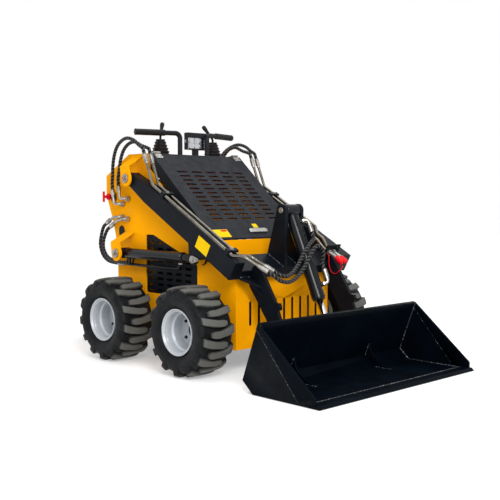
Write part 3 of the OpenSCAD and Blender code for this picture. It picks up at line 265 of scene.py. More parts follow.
class Shape:
    """Points and faces of one piece, gathered from simple forms."""

    def __init__(self):
        self.points, self.faces, self.crest_highlight = [], [], []

    def add(self, points, faces):
        base = len(self.points)
        self.points += [tuple(p) for p in points]
        self.faces += [tuple(base + i for i in face) for face in faces]
        return self

    def rings(self, rings, round_trip=False):
        """Skin over rings of equal length, with flat ends unless they come round to the first."""
        n, m = len(rings[0]), len(rings)
        faces = []
        for i in range(m if round_trip else m - 1):
            a, b = i * n, (i + 1) % m * n
            faces += [(a + j, a + (j + 1) % n, b + (j + 1) % n, b + j) for j in range(n)]
        if not round_trip:
            faces += [tuple(range(n - 1, -1, -1)), tuple((m - 1) * n + j for j in range(n))]
        return self.add([p for ring in rings for p in ring], faces)

    def lathe(self, at, aim, profile, sides=28, phase=0.0):
        """Round form about aim; the profile gives (place along, radius)."""
        e, g = across(aim)
        turns = [phase + 2 * math.pi * j / sides for j in range(sides)]
        return self.rings([
            [at + aim * along + (e * math.cos(a) + g * math.sin(a)) * max(r, POINT_R) for a in turns]
            for along, r in profile
        ])

    def tube(self, path, radius, sides=16, ridge=0.0, pitch=0.012, starts=2):
        """Round bar along a path, with spiral ridges where asked; each point also keeps its share of the
        painted highlight on the ridges' crests.
        """
        last = len(path) - 1
        e, run, rings = None, 0.0, []
        for i, p in enumerate(path):
            aim = (path[min(i + 1, last)] - path[max(i - 1, 0)]).normalized()
            e = across(aim)[0] if e is None else (e - aim * e.dot(aim)).normalized()
            g = aim.cross(e)
            run += (p - path[i - 1]).length if i else 0.0
            ring = []
            for j in range(sides):
                a = 2 * math.pi * j / sides
                swell = 0.5 - 0.5 * math.cos(starts * a - 2 * math.pi * run / pitch)
                # Share of the painted highlight at this point: 1 on the spiral's crest
                self.crest_highlight.append(max(0, 1 - CREST_STEEPNESS * (1 - swell)))
                r = radius * (1 - ridge * (1 - swell))
                ring.append(p + (e * math.cos(a) + g * math.sin(a)) * r)
            rings.append(ring)
        return self.rings(rings)

    def prism(self, outline, depth):
        """Flat outline pushed out by a vector."""
        return self.rings([outline, [p + depth for p in outline]])

    def bolt(self, at, aim, size):
        """Hexagon head on a washer; size is the head's corner radius."""
        self.lathe(at, aim, [(size * a, size * r) for a, r in WASHER_SHARES], 20)
        seat = at + aim * size * WASHER_SHARES[-1][0]
        return self.lathe(seat, aim, [(size * a, size * r) for a, r in HEAD_SHARES], 6)


def shaded(obj, angle):
    for face in obj.data.polygons:
        face.use_smooth = True
    obj.data.set_sharp_from_angle(angle=math.radians(angle))


def linked(name, data):
    obj = bpy.data.objects.new(name, data)
    bpy.context.scene.collection.objects.link(obj)
    return obj


def placed(name, mesh, coat, body, stands_for=()):
    obj = linked(name, mesh)
    mesh.materials.append(coat)
    if body:
        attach(obj, body)
    if stands_for:
        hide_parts(*stands_for)
    return obj


def piece(name, shape, coat, body, stands_for=(), angle=38, edge=0.0):
    """A new object from a shape, riding on a body."""
    mesh = bpy.data.meshes.new(name)
    mesh.from_pydata(shape.points, [], shape.faces)
    bm = bmesh.new()
    bm.from_mesh(mesh)
    bmesh.ops.recalc_face_normals(bm, faces=bm.faces)
    bm.to_mesh(mesh)
    bm.free()
    obj = placed(name, mesh, coat, body, stands_for)
    shaded(obj, angle)
    if edge:
        soften(obj, edge, angle)
    return obj


def soften(obj, edge, angle, steps=2):
    bevel = obj.modifiers.new("edge", "BEVEL")
    bevel.width = edge
    bevel.segments = steps
    bevel.limit_method = "ANGLE"
    bevel.angle_limit = math.radians(angle)
    evened = obj.modifiers.new("evened", "WEIGHTED_NORMAL")
    evened.weight = 80
    evened.keep_sharp = True


# Corners nearer than this are one, faces flatter than this are one, and edges sharper than this are hard
MERGE_GAP = 2e-6
FLAT_ANGLE = math.radians(0.4)
HARD_ANGLE = 30


def dressed(node, coat, edge):
    """The node's own shape, with softened edges where asked, in place of its bare solid."""
    source = frame["nodes"][node]
    bm = bmesh.new()
    bm.from_mesh(source.data)
    bm.transform(source.matrix_world)
    bmesh.ops.remove_doubles(bm, verts=bm.verts, dist=MERGE_GAP)
    if edge:
        bmesh.ops.dissolve_limit(bm, angle_limit=FLAT_ANGLE, verts=bm.verts, edges=bm.edges)
    mesh = bpy.data.meshes.new(node + "_skin")
    bm.to_mesh(mesh)
    bm.free()
    obj = placed(node + "_skin", mesh, coat, BODY_OF[node], [node])
    shaded(obj, HARD_ANGLE)
    if edge:
        soften(obj, edge, HARD_ANGLE)


# Nodes that keep their own shape: finish, width of the softened edges, slot and names
for coat, edge, slot, *nodes in (
    (YELLOW, 0, "yellow_paint", "side_plate_right", "side_plate_left"),
    (YELLOW, 0.0015, "yellow_paint", "rear_panel"),
    # The grille's slot walls carry painted shade
    (GRILLE, 0, "yellow_paint", "front_grille"),
    (YELLOW, 0.0015, "yellow_paint", "front_band", "console"),
    (BLACK, 0.001, "black_paint", "belly_pan"),
    (BLACK, 0.0008, "black_paint", "side_mesh"),
    (BLACK, 0.002, "black_paint", "wheel_motors"),
    (BLACK, 0.003, "black_paint", "platform"),
    # The nose deck's dark grey is painted shade
    (DECK_SHADE, 0.001, "grey_paint", "nose_deck"),
    (BLOCK, 0.006, "cast_block", "engine_block"),
    (PLASTIC, 0.002, "black_paint", "grab_bars"),
    (RUBBER, 0.0015, "hose_rubber", "joystick_boots"),
    (PLASTIC, 0.004, "black_plastic", "work_lamp"),
    (RED, 0.003, "red_plastic", "isolator_switch"),
    (RUBBER, 0.003, "hose_rubber", "plate_plugs"),
    (ZINC, 0.001, "zinc", "hood_hinges"),
    (ZINC, 0.002, "zinc", "pivot_pins"),
    (HOOD_GREY, 0.001, "grey_paint", "hood"),
    (BRUSHED, 0, "bright_steel", "hood_handle"),
    (BLACK, 0.005, "black_paint", "arm_right", "arm_left"),
    (BLACK, 0.003, "black_paint", "cross_beam"),
    (BLACK, 0.002, "black_paint", "leg_right", "leg_left", "tilt_tower", "tube_clamps"),
    (ZINC, 0.0015, "zinc", "rod_pin_plates"),
    (CHROME, 0.002, "bright_steel", "lift_rod_right", "lift_rod_left"),
    (CHROME, 0, "bright_steel", "tilt_rod"),
    (BUCKET, 0, "black_paint", "bucket_shell"),
    (BUCKET, 0.001, "black_paint", "bucket_gussets", "bucket_edge"),
    (BLACK, 0.002, "black_paint", "attach_plate"),
    (RIM_COAT, 0.0025, "rim_paint", "rim_front_right", "rim_front_left", "rim_rear_right", "rim_rear_left"),
):
    for node in nodes:
        dressed(node, coat, edge)

# Walls of the front panel's slots, which stay dark: a near-black painted shade where the yellow walls lie in
# shadow, on faces between these heights that don't look ahead
SLOT_Z, SLOTS_Y, AHEAD_SHARE = (0.235, 0.370), 0.300, 0.5
panel = bpy.data.objects["front_grille_skin"].data
slot_shade = panel.attributes.new("painted_slot_shade", "FLOAT", "FACE")
for face, shade in zip(panel.polygons, slot_shade.data):
    inside = SLOT_Z[0] < face.center.z < SLOT_Z[1] and abs(face.center.y) < SLOTS_Y
    shade.value = float(inside and abs(face.normal.x) < AHEAD_SHARE)


# Tyres: lugs start past the middle, at a part of the half width, and sweep and widen towards the shoulder
LUG_N = 13
HALF_PITCH = math.radians(180 / LUG_N)
LUG_SWEEP, SWEEP_POWER = math.radians(-8), 1.5
LUG_HALF = (math.radians(4.5), math.radians(5.6))
LUG_TIP, TIP_MARGIN = -0.46, 0.05
LUG_WALL = math.radians(0.9)
PITCH_SHARE, SWEEP_SHARE = 0.37, 0.1
LUG_START = math.radians(90) + HALF_PITCH * PITCH_SHARE - LUG_SWEEP * SWEEP_SHARE
TURN_STEPS = 468
# Lugs turn pale above this part of the tyre's height
WORN_SHARE, WORN_SPAN = 0.84, 0.1
# A bare and a lugged outline, each as (part of the half width, part of the tyre's height)
BEAD = (
    (0.79, -0.12), (0.79, 0.03), (0.85, 0.085), (0.915, 0.15), (0.935, 0.17), (0.955, 0.225), (0.985, 0.34),
    (1.0, 0.45), (0.992, 0.535), (0.998, 0.55),
)
CARCASS = BEAD + (
    (0.982, 0.57), (0.955, 0.64), (0.91, 0.70), (0.84, 0.755), (0.73, 0.785), (0.58, 0.80), (0.4, 0.812),
    (0.2, 0.82),
)
LUGGED = BEAD + (
    (0.995, 0.60), (0.982, 0.70), (0.957, 0.80), (0.918, 0.885), (0.855, 0.938), (0.7, 0.972), (0.45, 0.992),
    (0.2, 1.0),
)


def spline(p0, p1, p2, p3, t):
    bow = p0 * 2 - p1 * 5 + p2 * 4 - p3
    twist = p1 * 3 - p0 - p2 * 3 + p3
    return (p1 * 2 + (p2 - p0) * t + bow * t * t + twist * t * t * t) / 2


def whole_profile(half):
    """Bead to bead: the half profile, its middle and its mirror, with one point more between each two."""
    pts = [Vector(p) for p in half] + [Vector((0, half[-1][1]))]
    pts += [Vector((-p[0], p[1])) for p in reversed(half)]
    out, last = [], len(pts) - 1
    for i in range(last):
        out.append(pts[i])
        if 1 < i < last - 2:
            out.append(spline(pts[i - 1], pts[i], pts[i + 1], pts[i + 2], 0.5))
    return out + [pts[-1]]


def smooth_step(x):
    x = min(1.0, max(0.0, x))
    return x * x * (3 - 2 * x)


def lug_share(angle, u):
    """How far a place at this angle and this part of the half width is on a lug, from 0 to 1."""
    best = 0.0
    for row in (1, -1):
        depth = row * u
        if depth < LUG_TIP - TIP_MARGIN:
            continue
        start = LUG_START + LUG_SWEEP * max(0, depth) ** SWEEP_POWER + (0 if row > 0 else HALF_PITCH)
        off = (angle - start + HALF_PITCH) % (2 * HALF_PITCH) - HALF_PITCH
        half = LUG_HALF[0] + (LUG_HALF[1] - LUG_HALF[0]) * min(1, max(0, depth))
        reach = (depth - LUG_TIP) * TYRE_W / 2 / TYRE_R
        if reach < half:
            edge = half - math.hypot(off, half - reach)
        else:
            edge = half - abs(off)
        best = max(best, smooth_step(0.5 + edge / LUG_WALL))
    return best


def add_tyre(name, x, side):
    flat, high = whole_profile(CARCASS), whole_profile(LUGGED)
    rings, tops = [], []
    for i in range(TURN_STEPS):
        angle = 2 * math.pi * i / TURN_STEPS
        ring = []
        for low, top in zip(flat, high):
            share = lug_share(angle, low.x) if (top - low).length > POINT_R else 0.0
            p = low + (top - low) * share
            r = RIM_R + p.y * (TYRE_R - RIM_R)
            y = side * (WHEEL_Y + p.x * TYRE_W / 2)
            ring.append((x + r * math.cos(angle), y, TYRE_R - r * math.sin(angle)))
            tops.append(share * smooth_step((p.y - WORN_SHARE) / WORN_SPAN))
        rings.append(ring)
    shape = Shape().rings(rings, True)
    obj = piece(name + "_skin", shape, TYRE, BODY_OF[name], [name], angle=50)
    worn = obj.data.attributes.new("lug_top", "FLOAT", "POINT")
    worn.data.foreach_set("value", tops)


# Wheels: nuts in the rim's holes, a hub cap and a valve beside the dish; profiles are (place along, radius)
BOLT_RING, BOLT_N = 0.070, 5
DISC_Y = -0.017
NUT = [(-0.006, 0.0085), (0.002, 0.0085), (0.004, 0.0065)]
STUD = [(0, 0.004), (0.010, 0.004), (0.011, 0.003)]
HUB_CAP = [(-0.001, 0.036), (0.002, 0.036), (0.003, 0.034), (0.003, 0.012)]
VALVE = [(-0.012, 0.006), (0.008, 0.005), (0.010, 0.0035), (0.024, 0.0035)]
VALVE_X, VALVE_Y, VALVE_Z = 0.070, 0.040, 0.058
for end, x in AXLE_X.items():
    for word, side in SIDES:
        corner = f"{end}_{word}"
        add_tyre("tyre_" + corner, x, side)
        out = LEFTWARD * side
        hub = Vector((x, side * (WHEEL_Y + DISC_Y), TYRE_R))
        nuts = Shape()
        for i in range(BOLT_N):
            a = 2 * math.pi * i / BOLT_N
            spot = hub + Vector((math.cos(a), 0, -math.sin(a))) * BOLT_RING
            nuts.lathe(spot, out, NUT, 6)
            nuts.lathe(spot, out, STUD, 12)
        nuts.lathe(hub, out, HUB_CAP, 32)
        piece("wheel_nuts_" + corner, nuts, PLASTIC, "wheel_" + corner)
        foot = Vector((x + VALVE_X, side * (WHEEL_Y + VALVE_Y), TYRE_R + VALVE_Z))
        stem = Shape().lathe(foot, out, VALVE, 12)
        piece("wheel_valve_" + corner, stem, RUBBER, "wheel_" + corner)


# Hoses and tubes: routes repeated from the part's source
HOSE_R, TUBE_R, TUBE_BEND, CRIMP_L, CRIMP_LAP = 0.010, 0.008, 0.040, 0.055, 0.012
TUBE_ROWS = (0.385, 0.426)
TUBE_N = 0.064
TUBE_TOP, TUBE_KNEE, TUBE_END = (0.050, 0.175), 0.193, 0.920
TUBE_LEVEL = FORWARD * 0.080
HOSE_LEAD, HOSE_GAP = 0.036, 0.0006


def smooth_path(points, steps=7):
    """Smooth route through the points, straight along its first and last legs."""
    out, last = [points[0]], len(points) - 1
    for i in range(1, last - 1):
        out += [spline(*points[i - 1:i + 3], k / steps) for k in range(steps)]
    return out + [points[last - 1], points[last]]


def finely(path, step):
    """The same path with places no further apart than step."""
    out = [path[0]]
    for a, b in zip(path, path[1:]):
        n = max(1, math.ceil((b - a).length / step))
        out += [a + (b - a) * (k / n) for k in range(1, n + 1)]
    return out


def bent_path(points, bend, steps=8):
    """Straight legs with one radius at each corner."""
    out = [points[0]]
    for a, b, c in zip(points, points[1:], points[2:]):
        u, v = (b - a).normalized(), (c - b).normalized()
        angle = u.angle(v)
        w = (v - u * u.dot(v)).normalized()
        mid = b - u * bend * math.tan(angle / 2) + w * bend
        for i in range(steps + 1):
            t = angle * i / steps
            out.append(mid + (u * math.sin(t) - w * math.cos(t)) * bend)
    return out + [points[-1]]


def tube_head(y):
    return arm_at(*TUBE_TOP, y)


def tube_aim(y):
    return (arm_at(TUBE_KNEE, TUBE_N, y) - tube_head(y)).normalized()


FITTINGS = (
    ((-0.546, 0.352, 0.888), (-0.546, 0.387, 0.888), (-0.583, 0.388, 0.890), (-0.587, 0.389, 0.925),
     (-0.591, 0.390, 0.959)),
    ((-0.596, 0.352, 0.858), (-0.596, 0.386, 0.858), (-0.640, 0.388, 0.860), (-0.648, 0.389, 0.900),
     (-0.651, 0.390, 0.940)),
    ((-0.550, 0.352, 0.772), (-0.550, 0.386, 0.772), (-0.604, 0.388, 0.764), (-0.636, 0.390, 0.748),
     (-0.670, 0.392, 0.728)),
    ((-0.600, 0.352, 0.782), (-0.600, 0.386, 0.782), (-0.646, 0.388, 0.782), (-0.674, 0.390, 0.768),
     (-0.706, 0.392, 0.748)),
)
BOOM_MIDS = (
    ((-0.584, 0.389, 1.055), (-0.574, 0.388, 1.105), (-0.545, 0.388, 1.160), (-0.500, 0.387, 1.195),
     (-0.440, 0.386, 1.206), (-0.378, 0.385, 1.183)),
    ((-0.643, 0.395, 1.020), (-0.632, 0.400, 1.075), (-0.612, 0.405, 1.130), (-0.575, 0.412, 1.180),
     (-0.520, 0.419, 1.213), (-0.458, 0.424, 1.226), (-0.395, 0.426, 1.212), (-0.345, 0.426, 1.182)),
)
LIFT_MIDS = (
    ((-0.728, 0.402, 0.650), (-0.722, 0.407, 0.595), (-0.670, 0.411, 0.548), (-0.580, 0.413, 0.530)),
    ((-0.765, 0.392, 0.680), (-0.778, 0.392, 0.620), (-0.755, 0.391, 0.562), (-0.700, 0.391, 0.527)),
)
TILT_MIDS = (
    ((0.590, -0.232, 0.508), (0.577, -0.172, 0.524), (0.560, -0.114, 0.560), (0.547, -0.064, 0.606),
     (0.535, -0.014, 0.646)),
    ((0.594, -0.277, 0.488), (0.598, -0.217, 0.480), (0.592, -0.150, 0.505), (0.586, -0.094, 0.552),
     (0.582, -0.050, 0.606), (0.582, -0.008, 0.645), (0.586, 0.028, 0.640), (0.584, 0.047, 0.604)),
)
TILT_PORTS, TILT_WAYS, TILT_ELBOW, TILT_LEG = (0.075, 0.425), (1, -1), 0.072, 0.070
LIFT_ALONG = (LIFT_EYE - LIFT_BASE).normalized()
LIFT_UP = Vector((-LIFT_ALONG.z, 0, LIFT_ALONG.x))
TILT_ALONG = (TILT_EYE - TOWER_PIN).normalized()
TILT_UP = Vector((-TILT_ALONG.z, 0, TILT_ALONG.x))
PORT_AIM = (TILT_UP + LEFTWARD).normalized()
DROP = Vector((0.050, 0.060, -0.050))


def on_lift(side, x, y, z):
    """Point beside a lift barrel: along it, outwards and above its middle line."""
    return LIFT_BASE + LIFT_ALONG * x + LIFT_UP * z + LEFTWARD * side * (ARM_Y + y)


def drop_at(y):
    return arm_at(TUBE_END, TUBE_N, y) + TUBE_LEVEL + DROP


def drop_tip(y):
    return drop_at(y) + DROP.normalized() * (CRIMP_L - CRIMP_LAP)


def tilt_corner(i):
    return TOWER_PIN + TILT_ALONG * TILT_PORTS[i] + PORT_AIM * TILT_ELBOW


def tilt_end(i):
    return tilt_corner(i) + TILT_ALONG * TILT_WAYS[i] * TILT_LEG


# A crimped sleeve: its mouth on the hose, its grooves in parts of its length, and its neck on the tube
FERRULE_R, MOUTH_R, NECK_END_R = 0.0128, 0.0105, 0.0083
GROOVE_N, GROOVE_LIP = 4, 0.001
GROOVE_FROM_SHARE, GROOVE_PITCH_SHARE, GROOVE_SHARE, GROOVE_R_SHARE = 0.08, 0.16, 0.06, 0.93
NECK_SHARES = ((0.74, 1), (0.76, 0.80), (0.99, 0.80))


def ferrule(shape, at, aim, length=CRIMP_L):
    """Crimped sleeve that starts at the hose's end and runs back along the tube."""
    r, low = FERRULE_R, FERRULE_R * GROOVE_R_SHARE
    profile = [(-GROOVE_LIP, MOUTH_R), (0.0, r)]
    for i in range(GROOVE_N):
        a = length * (GROOVE_FROM_SHARE + GROOVE_PITCH_SHARE * i)
        b = a + length * GROOVE_SHARE
        profile += [(a, r), (a + GROOVE_LIP, low), (b, low), (b + GROOVE_LIP, r)]
    profile += [(length * a, r * b) for a, b in NECK_SHARES]
    shape.lathe(at, aim, profile + [(length, NECK_END_R)], 20)


# A nut's chamfer: its length and its part of the corner radius
CHAMFER_L, CHAMFER_SHARE = 0.0012, 0.9


def hexagon(shape, at, aim, r, length):
    small = r * CHAMFER_SHARE
    shape.lathe(at, aim, [(0, small), (CHAMFER_L, r), (length - CHAMFER_L, r), (length, small)], 6)


# A hose's sleeve: radius, depth of its spiral as a part of that, and the spiral's pitch
SLEEVE_R, SPIRAL_SHARE, SPIRAL_PITCH = HOSE_R * 1.04, 0.13, 0.021
HOSE_SIDES, HOSE_STEP = 18, 0.003


def add_hose(name, points, body_a, body_b, start, end, node):
    path = finely(smooth_path([Vector(p) for p in points]), HOSE_STEP)
    shape = Shape().tube(path, SLEEVE_R, HOSE_SIDES, SPIRAL_SHARE, SPIRAL_PITCH)
    obj = piece(name, shape, HOSE, None, [node], angle=60)
    # The spiral's crests take the painted highlight colour
    ridge = obj.data.attributes.new("ridge", "FLOAT", "POINT")
    ridge.data.foreach_set("value", shape.crest_highlight)
    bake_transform(obj)


def crimp_run(at, aim):
    """The straight first stretch of a hose that leaves a crimp."""
    return [at + aim * HOSE_GAP, at + aim * HOSE_LEAD]


# Fittings: a nut on the plate and one on the pipe, as (corner radius, length), and the bent pipe
PLATE_NUT, PIPE_NUT = (0.0172, 0.014), (0.0135, 0.012)
PIPE_R, PIPE_BEND, PIPE_LAP, PIPE_STEP = 0.0082, 0.016, 0.010, 0.01
BOOM_BEND = ((-0.60, 0.39, 1.08), (-0.34, 0.40, 1.17))
LIFT_BEND = ((-0.73, 0.40, 0.71), (-0.70, 0.40, 0.53))
TILT_BENDS = (((0.585, -0.15, 0.52), (0.525, 0.02, 0.67)), ((0.585, -0.15, 0.52), (0.582, 0.04, 0.61)))
# Ends of the lift hoses, beside the barrel
LIFT_ENDS = ((0.052, 0.008, -0.0554), (-0.070, -0.014, -0.064))
for word, side in SIDES:
    heads = Shape()
    out = LEFTWARD * side
    for i, route in enumerate(FITTINGS):
        pts = mirrored(route, side)
        aim = (pts[4] - pts[3]).normalized()
        seat = Vector((pts[0].x, side * OUTER_Y, pts[0].z))
        hexagon(heads, seat, out, *PLATE_NUT)
        hexagon(heads, seat + out * PLATE_NUT[1], out, *PIPE_NUT)
        pipe = bent_path([pts[0], pts[1], pts[2], pts[3] + aim * PIPE_LAP], PIPE_BEND)
        heads.tube(finely(pipe, PIPE_STEP), PIPE_R, 14)
        ferrule(heads, pts[4], -aim, (pts[4] - pts[3]).length)
        if i < len(BOOM_MIDS):
            y = side * TUBE_ROWS[i]
            mids, bend, node, far = BOOM_MIDS[i], BOOM_BEND, "boom_hoses", "boom"
            tail = crimp_run(tube_head(y), -tube_aim(y))
        else:
            k = i - len(BOOM_MIDS)
            mids, bend, node, far = LIFT_MIDS[k], LIFT_BEND, "lift_hoses", "lift_barrel_" + word
            tail = crimp_run(on_lift(side, *LIFT_ENDS[k]), -LIFT_ALONG)
        points = crimp_run(pts[4], aim) + mirrored(mids, side) + tail[::-1]
        first, last = ((p[0], side * p[1], p[2]) for p in bend)
        add_hose(f"{node[:-1]}_{word}_{i}", points, "chassis", far, first, last, node)
    piece("fittings_" + word, heads, ZINC, "chassis", ["bulkhead_fittings"])

for i, y in enumerate(TUBE_ROWS):
    tail = crimp_run(tilt_end(i), TILT_ALONG * TILT_WAYS[i])
    points = crimp_run(drop_tip(-y), DROP.normalized()) + list(TILT_MIDS[i]) + tail[::-1]
    add_hose(f"tilt_hose_{i}", points, "boom", "tilt_barrel", *TILT_BENDS[i], "tilt_hoses")

# Steel tubes on the arms
COUPLER_ROWS, COUPLER_N, COUPLER_T = (0.313, 0.349), 0.042, 0.896
BESIDE_ROWS, BESIDE_N = (0.325, 0.361), (0.052, 0.064)
TUBE_LEAVE, TUBE_BESIDE, TUBE_TURN, TUBE_DOWN = 0.670, 0.750, 0.800, 0.862
tubes, crimps = Shape(), Shape()
for y, row, beside, n in zip(TUBE_ROWS, COUPLER_ROWS, BESIDE_ROWS, BESIDE_N):
    back = CRIMP_L - CRIMP_LAP
    left = [
        tube_head(y) + tube_aim(y) * back, arm_at(TUBE_KNEE, TUBE_N, y), arm_at(TUBE_LEAVE, TUBE_N, y),
        arm_at(TUBE_BESIDE, n, beside), arm_at(TUBE_TURN, n, beside), arm_at(TUBE_DOWN, COUPLER_N, row),
        arm_at(COUPLER_T, COUPLER_N, row),
    ]
    last = arm_at(TUBE_END, TUBE_N, -y)
    right = [tube_head(-y) + tube_aim(-y) * back, arm_at(TUBE_KNEE, TUBE_N, -y)]
    right += [last, last + TUBE_LEVEL, drop_at(-y)]
    for path in (left, right):
        tubes.tube(bent_path(path, TUBE_BEND), TUBE_R, 18)
    for s in (-1, 1):
        ferrule(crimps, tube_head(s * y), tube_aim(s * y))
    ferrule(crimps, drop_tip(-y), -DROP.normalized())
piece("boom_tubes", tubes, TUBE_STEEL, "boom", ["arm_tubes"], angle=50)
piece("boom_crimps", crimps, ZINC, "boom")

# Auxiliary couplers with ringed bodies, and their caps
ALONG_ARM = (arm_at(1, 0, 0) - arm_at(0, 0, 0)).normalized()
OFF_ARM = (arm_at(0, 1, 0) - arm_at(0, 0, 0)).normalized()
COUPLER_SEAT, COUPLER_NUT, CAP_FROM = 0.008, (0.017, 0.018), 0.066
COUPLER = [
    (0, 0.0105), (0.006, 0.0105), (0.007, 0.013), (0.020, 0.013), (0.021, 0.0118), (0.024, 0.0118),
    (0.025, 0.0135), (0.040, 0.0135), (0.041, 0.0118), (0.044, 0.0118), (0.045, 0.013), (0.048, 0.013),
]
CAP = [
    (0, 0.0155), (0.002, 0.017), (0.010, 0.017), (0.011, 0.0158), (0.014, 0.0158), (0.015, 0.0168),
    (0.030, 0.0168), (0.040, 0.0155), (0.047, 0.012), (0.051, 0.006), (0.052, 0.001),
]
# Straps from cap to nut: the inner one hangs in front of the leg, the outer one below its coupler
STRAP_R = 0.0018
INNER_STRAP = (
    (0.467, 0.313, 0.534), (0.500, 0.300, 0.528), (0.517, 0.278, 0.518), (0.509, 0.262, 0.500),
    (0.481, 0.262, 0.484), (0.452, 0.262, 0.497), (0.438, 0.262, 0.534), (0.430, 0.270, 0.566),
    (0.412, 0.288, 0.582), (0.392, 0.299, 0.585),
)
# Columns of the outer one: along the arm, off it, leftward and down
OUTER_STRAP = (
    (0.072, -0.0175, 0, 0), (0.084, -0.0175, 0, 0.0225), (0.072, -0.0175, 0.004, 0.045),
    (0.041, -0.01675, 0.006, 0.0675), (0.004, -0.016, 0, 0.045), (0.010, -0.016, 0, 0.018),
    (0.010, -0.016, 0, 0),
)
bodies, caps, straps = Shape(), Shape(), Shape()
for y in COUPLER_ROWS:
    at = arm_at(COUPLER_T + COUPLER_SEAT, COUPLER_N, y)
    hexagon(bodies, at, ALONG_ARM, *COUPLER_NUT)
    bodies.lathe(at + ALONG_ARM * COUPLER_NUT[1], ALONG_ARM, COUPLER)
    caps.lathe(at + ALONG_ARM * CAP_FROM, ALONG_ARM, CAP, 32)
outer = [at + ALONG_ARM * t + OFF_ARM * n + LEFTWARD * y - UPWARD * z for t, n, y, z in OUTER_STRAP]
for route in ([Vector(p) for p in INNER_STRAP], outer):
    straps.tube(smooth_path(route, 8), STRAP_R, 8)
piece("coupler_bodies", bodies, ZINC, "boom", ["couplers"])
piece("coupler_cap_skins", caps, RED, "boom", ["coupler_caps"])
piece("coupler_straps", straps, RED, "boom")

# Cylinders: the neck and shoulder of a barrel, and its gland as (place before the end, part of the radius)
NECK_SHARE, SHOULDER_L, SHOULDER_SHARE = 0.7, 0.004, 0.86
GLAND = ((0.046, 1), (0.045, 1.05), (0.012, 1.05), (0.010, 0.97), (0.004, 0.97), (0, 0.90))
EYE_EDGE, EYE_INSET, PIN_GAP = 0.002, 0.004, 0.001


def barrel(at, along, r, start, stop, eye_r, eye_w, pin_r, neck_r):
    """Shape of a barrel with its eye at a place."""
    profile = [(eye_r * NECK_SHARE, neck_r), (start - SHOULDER_L, neck_r)]
    profile += [(start, r * SHOULDER_SHARE), (start + SHOULDER_L, r)]
    shape = Shape().lathe(at, along, profile + [(stop - a, r * share) for a, share in GLAND], 40)
    bore_r = pin_r + PIN_GAP
    return shape.lathe(at - LEFTWARD * eye_w / 2, LEFTWARD, [
        (0, eye_r - EYE_EDGE), (EYE_EDGE, eye_r), (eye_w - EYE_EDGE, eye_r), (eye_w, eye_r - EYE_EDGE),
        (eye_w, bore_r), (eye_w - EYE_INSET, bore_r), (EYE_INSET, bore_r), (0, bore_r),
    ], 40)


# Lift cylinders: pipe, stays, port and nut beside the barrel, and the collar on the rod
LIFT_PIPE = ((-0.027, -0.014, -0.064), (0.470, -0.014, -0.064), (0.510, 0, -0.022))
LIFT_STAYS = (
    ((0.008, -0.010, -0.068), (0.030, -0.006, -0.026)), ((0.063, -0.010, -0.068), (0.085, -0.006, -0.026)),
)
STAY_R = 0.006
LIFT_PORT_AT = (0.062, 0.008, -0.066)
LIFT_PORT = [(0, 0.0085), (0.001, 0.010), (0.046, 0.010)]
LIFT_NUT_AT, LIFT_NUT = (0.504, -0.002, -0.027), (0.012, 0.010)
ROD_COLLAR = [
    (0.541, 0.0205), (0.544, 0.023), (0.590, 0.023), (0.596, 0.0215), (0.612, 0.0215), (0.614, 0.019),
]
for word, side in SIDES:
    name = "lift_barrel_" + word
    eye = LIFT_BASE + LEFTWARD * side * ARM_Y
    shape = barrel(
        eye, LIFT_ALONG, 0.029, start=0.032, stop=0.540, eye_r=0.030, eye_w=0.070, pin_r=0.020, neck_r=0.021,
    )
    shape.tube(bent_path([on_lift(side, *p) for p in LIFT_PIPE], TUBE_BEND), TUBE_R, 14)
    for stay in LIFT_STAYS:
        shape.tube([on_lift(side, *p) for p in stay], STAY_R, 10)
    shape.lathe(on_lift(side, *LIFT_PORT_AT), LIFT_UP, LIFT_PORT, 20)
    piece(name + "_skin", shape, GLOSS_BLACK, name, [name])
    sleeve = Shape()
    ferrule(sleeve, on_lift(side, *LIFT_ENDS[1]), LIFT_ALONG)
    hexagon(sleeve, on_lift(side, *LIFT_NUT_AT), -LIFT_UP, *LIFT_NUT)
    piece("lift_crimp_" + word, sleeve, ZINC, name)
    collar = Shape().lathe(eye, LIFT_ALONG, ROD_COLLAR, 36)
    piece("rod_collar_" + word, collar, GLOSS_BLACK, "lift_rod_" + word)

# Tilt cylinder: ports on its side, two thin rails on its front and elbows that take the hoses
TILT_PORT = [(0.028, 0.012), (0.042, 0.012), (0.043, 0.010), (0.046, 0.010)]
RAIL_UP, RAIL_OUT, RAIL_SPAN, RAIL_R = 0.031, 0.017, (0.05, 0.44), 0.002
ELBOW_FROM, ELBOW_NUT, ELBOW_LAP = 0.044, (0.0125, 0.010), 0.040
shape = barrel(
    TOWER_PIN, TILT_ALONG, 0.034, start=0.034, stop=0.5, eye_r=0.032, eye_w=0.092, pin_r=0.015, neck_r=0.021,
)
for x in TILT_PORTS:
    shape.lathe(TOWER_PIN + TILT_ALONG * x, PORT_AIM, TILT_PORT, 20)
for s in (-1, 1):
    rail = TOWER_PIN + TILT_UP * RAIL_UP + LEFTWARD * RAIL_OUT * s
    shape.tube([rail + TILT_ALONG * x for x in RAIL_SPAN], RAIL_R, 8)
piece("tilt_barrel_skin", shape, GLOSS_BLACK, "tilt_barrel", ["tilt_barrel"])
elbows = Shape()
for i, x in enumerate(TILT_PORTS):
    way = TILT_ALONG * TILT_WAYS[i]
    root = TOWER_PIN + TILT_ALONG * x + PORT_AIM * ELBOW_FROM
    hexagon(elbows, root, PORT_AIM, *ELBOW_NUT)
    elbows.tube(bent_path([root, tilt_corner(i), tilt_end(i) - way * ELBOW_LAP], PIPE_BEND), TUBE_R, 16)
    ferrule(elbows, tilt_end(i), -way)
piece("tilt_crimps", elbows, ZINC, "tilt_barrel")

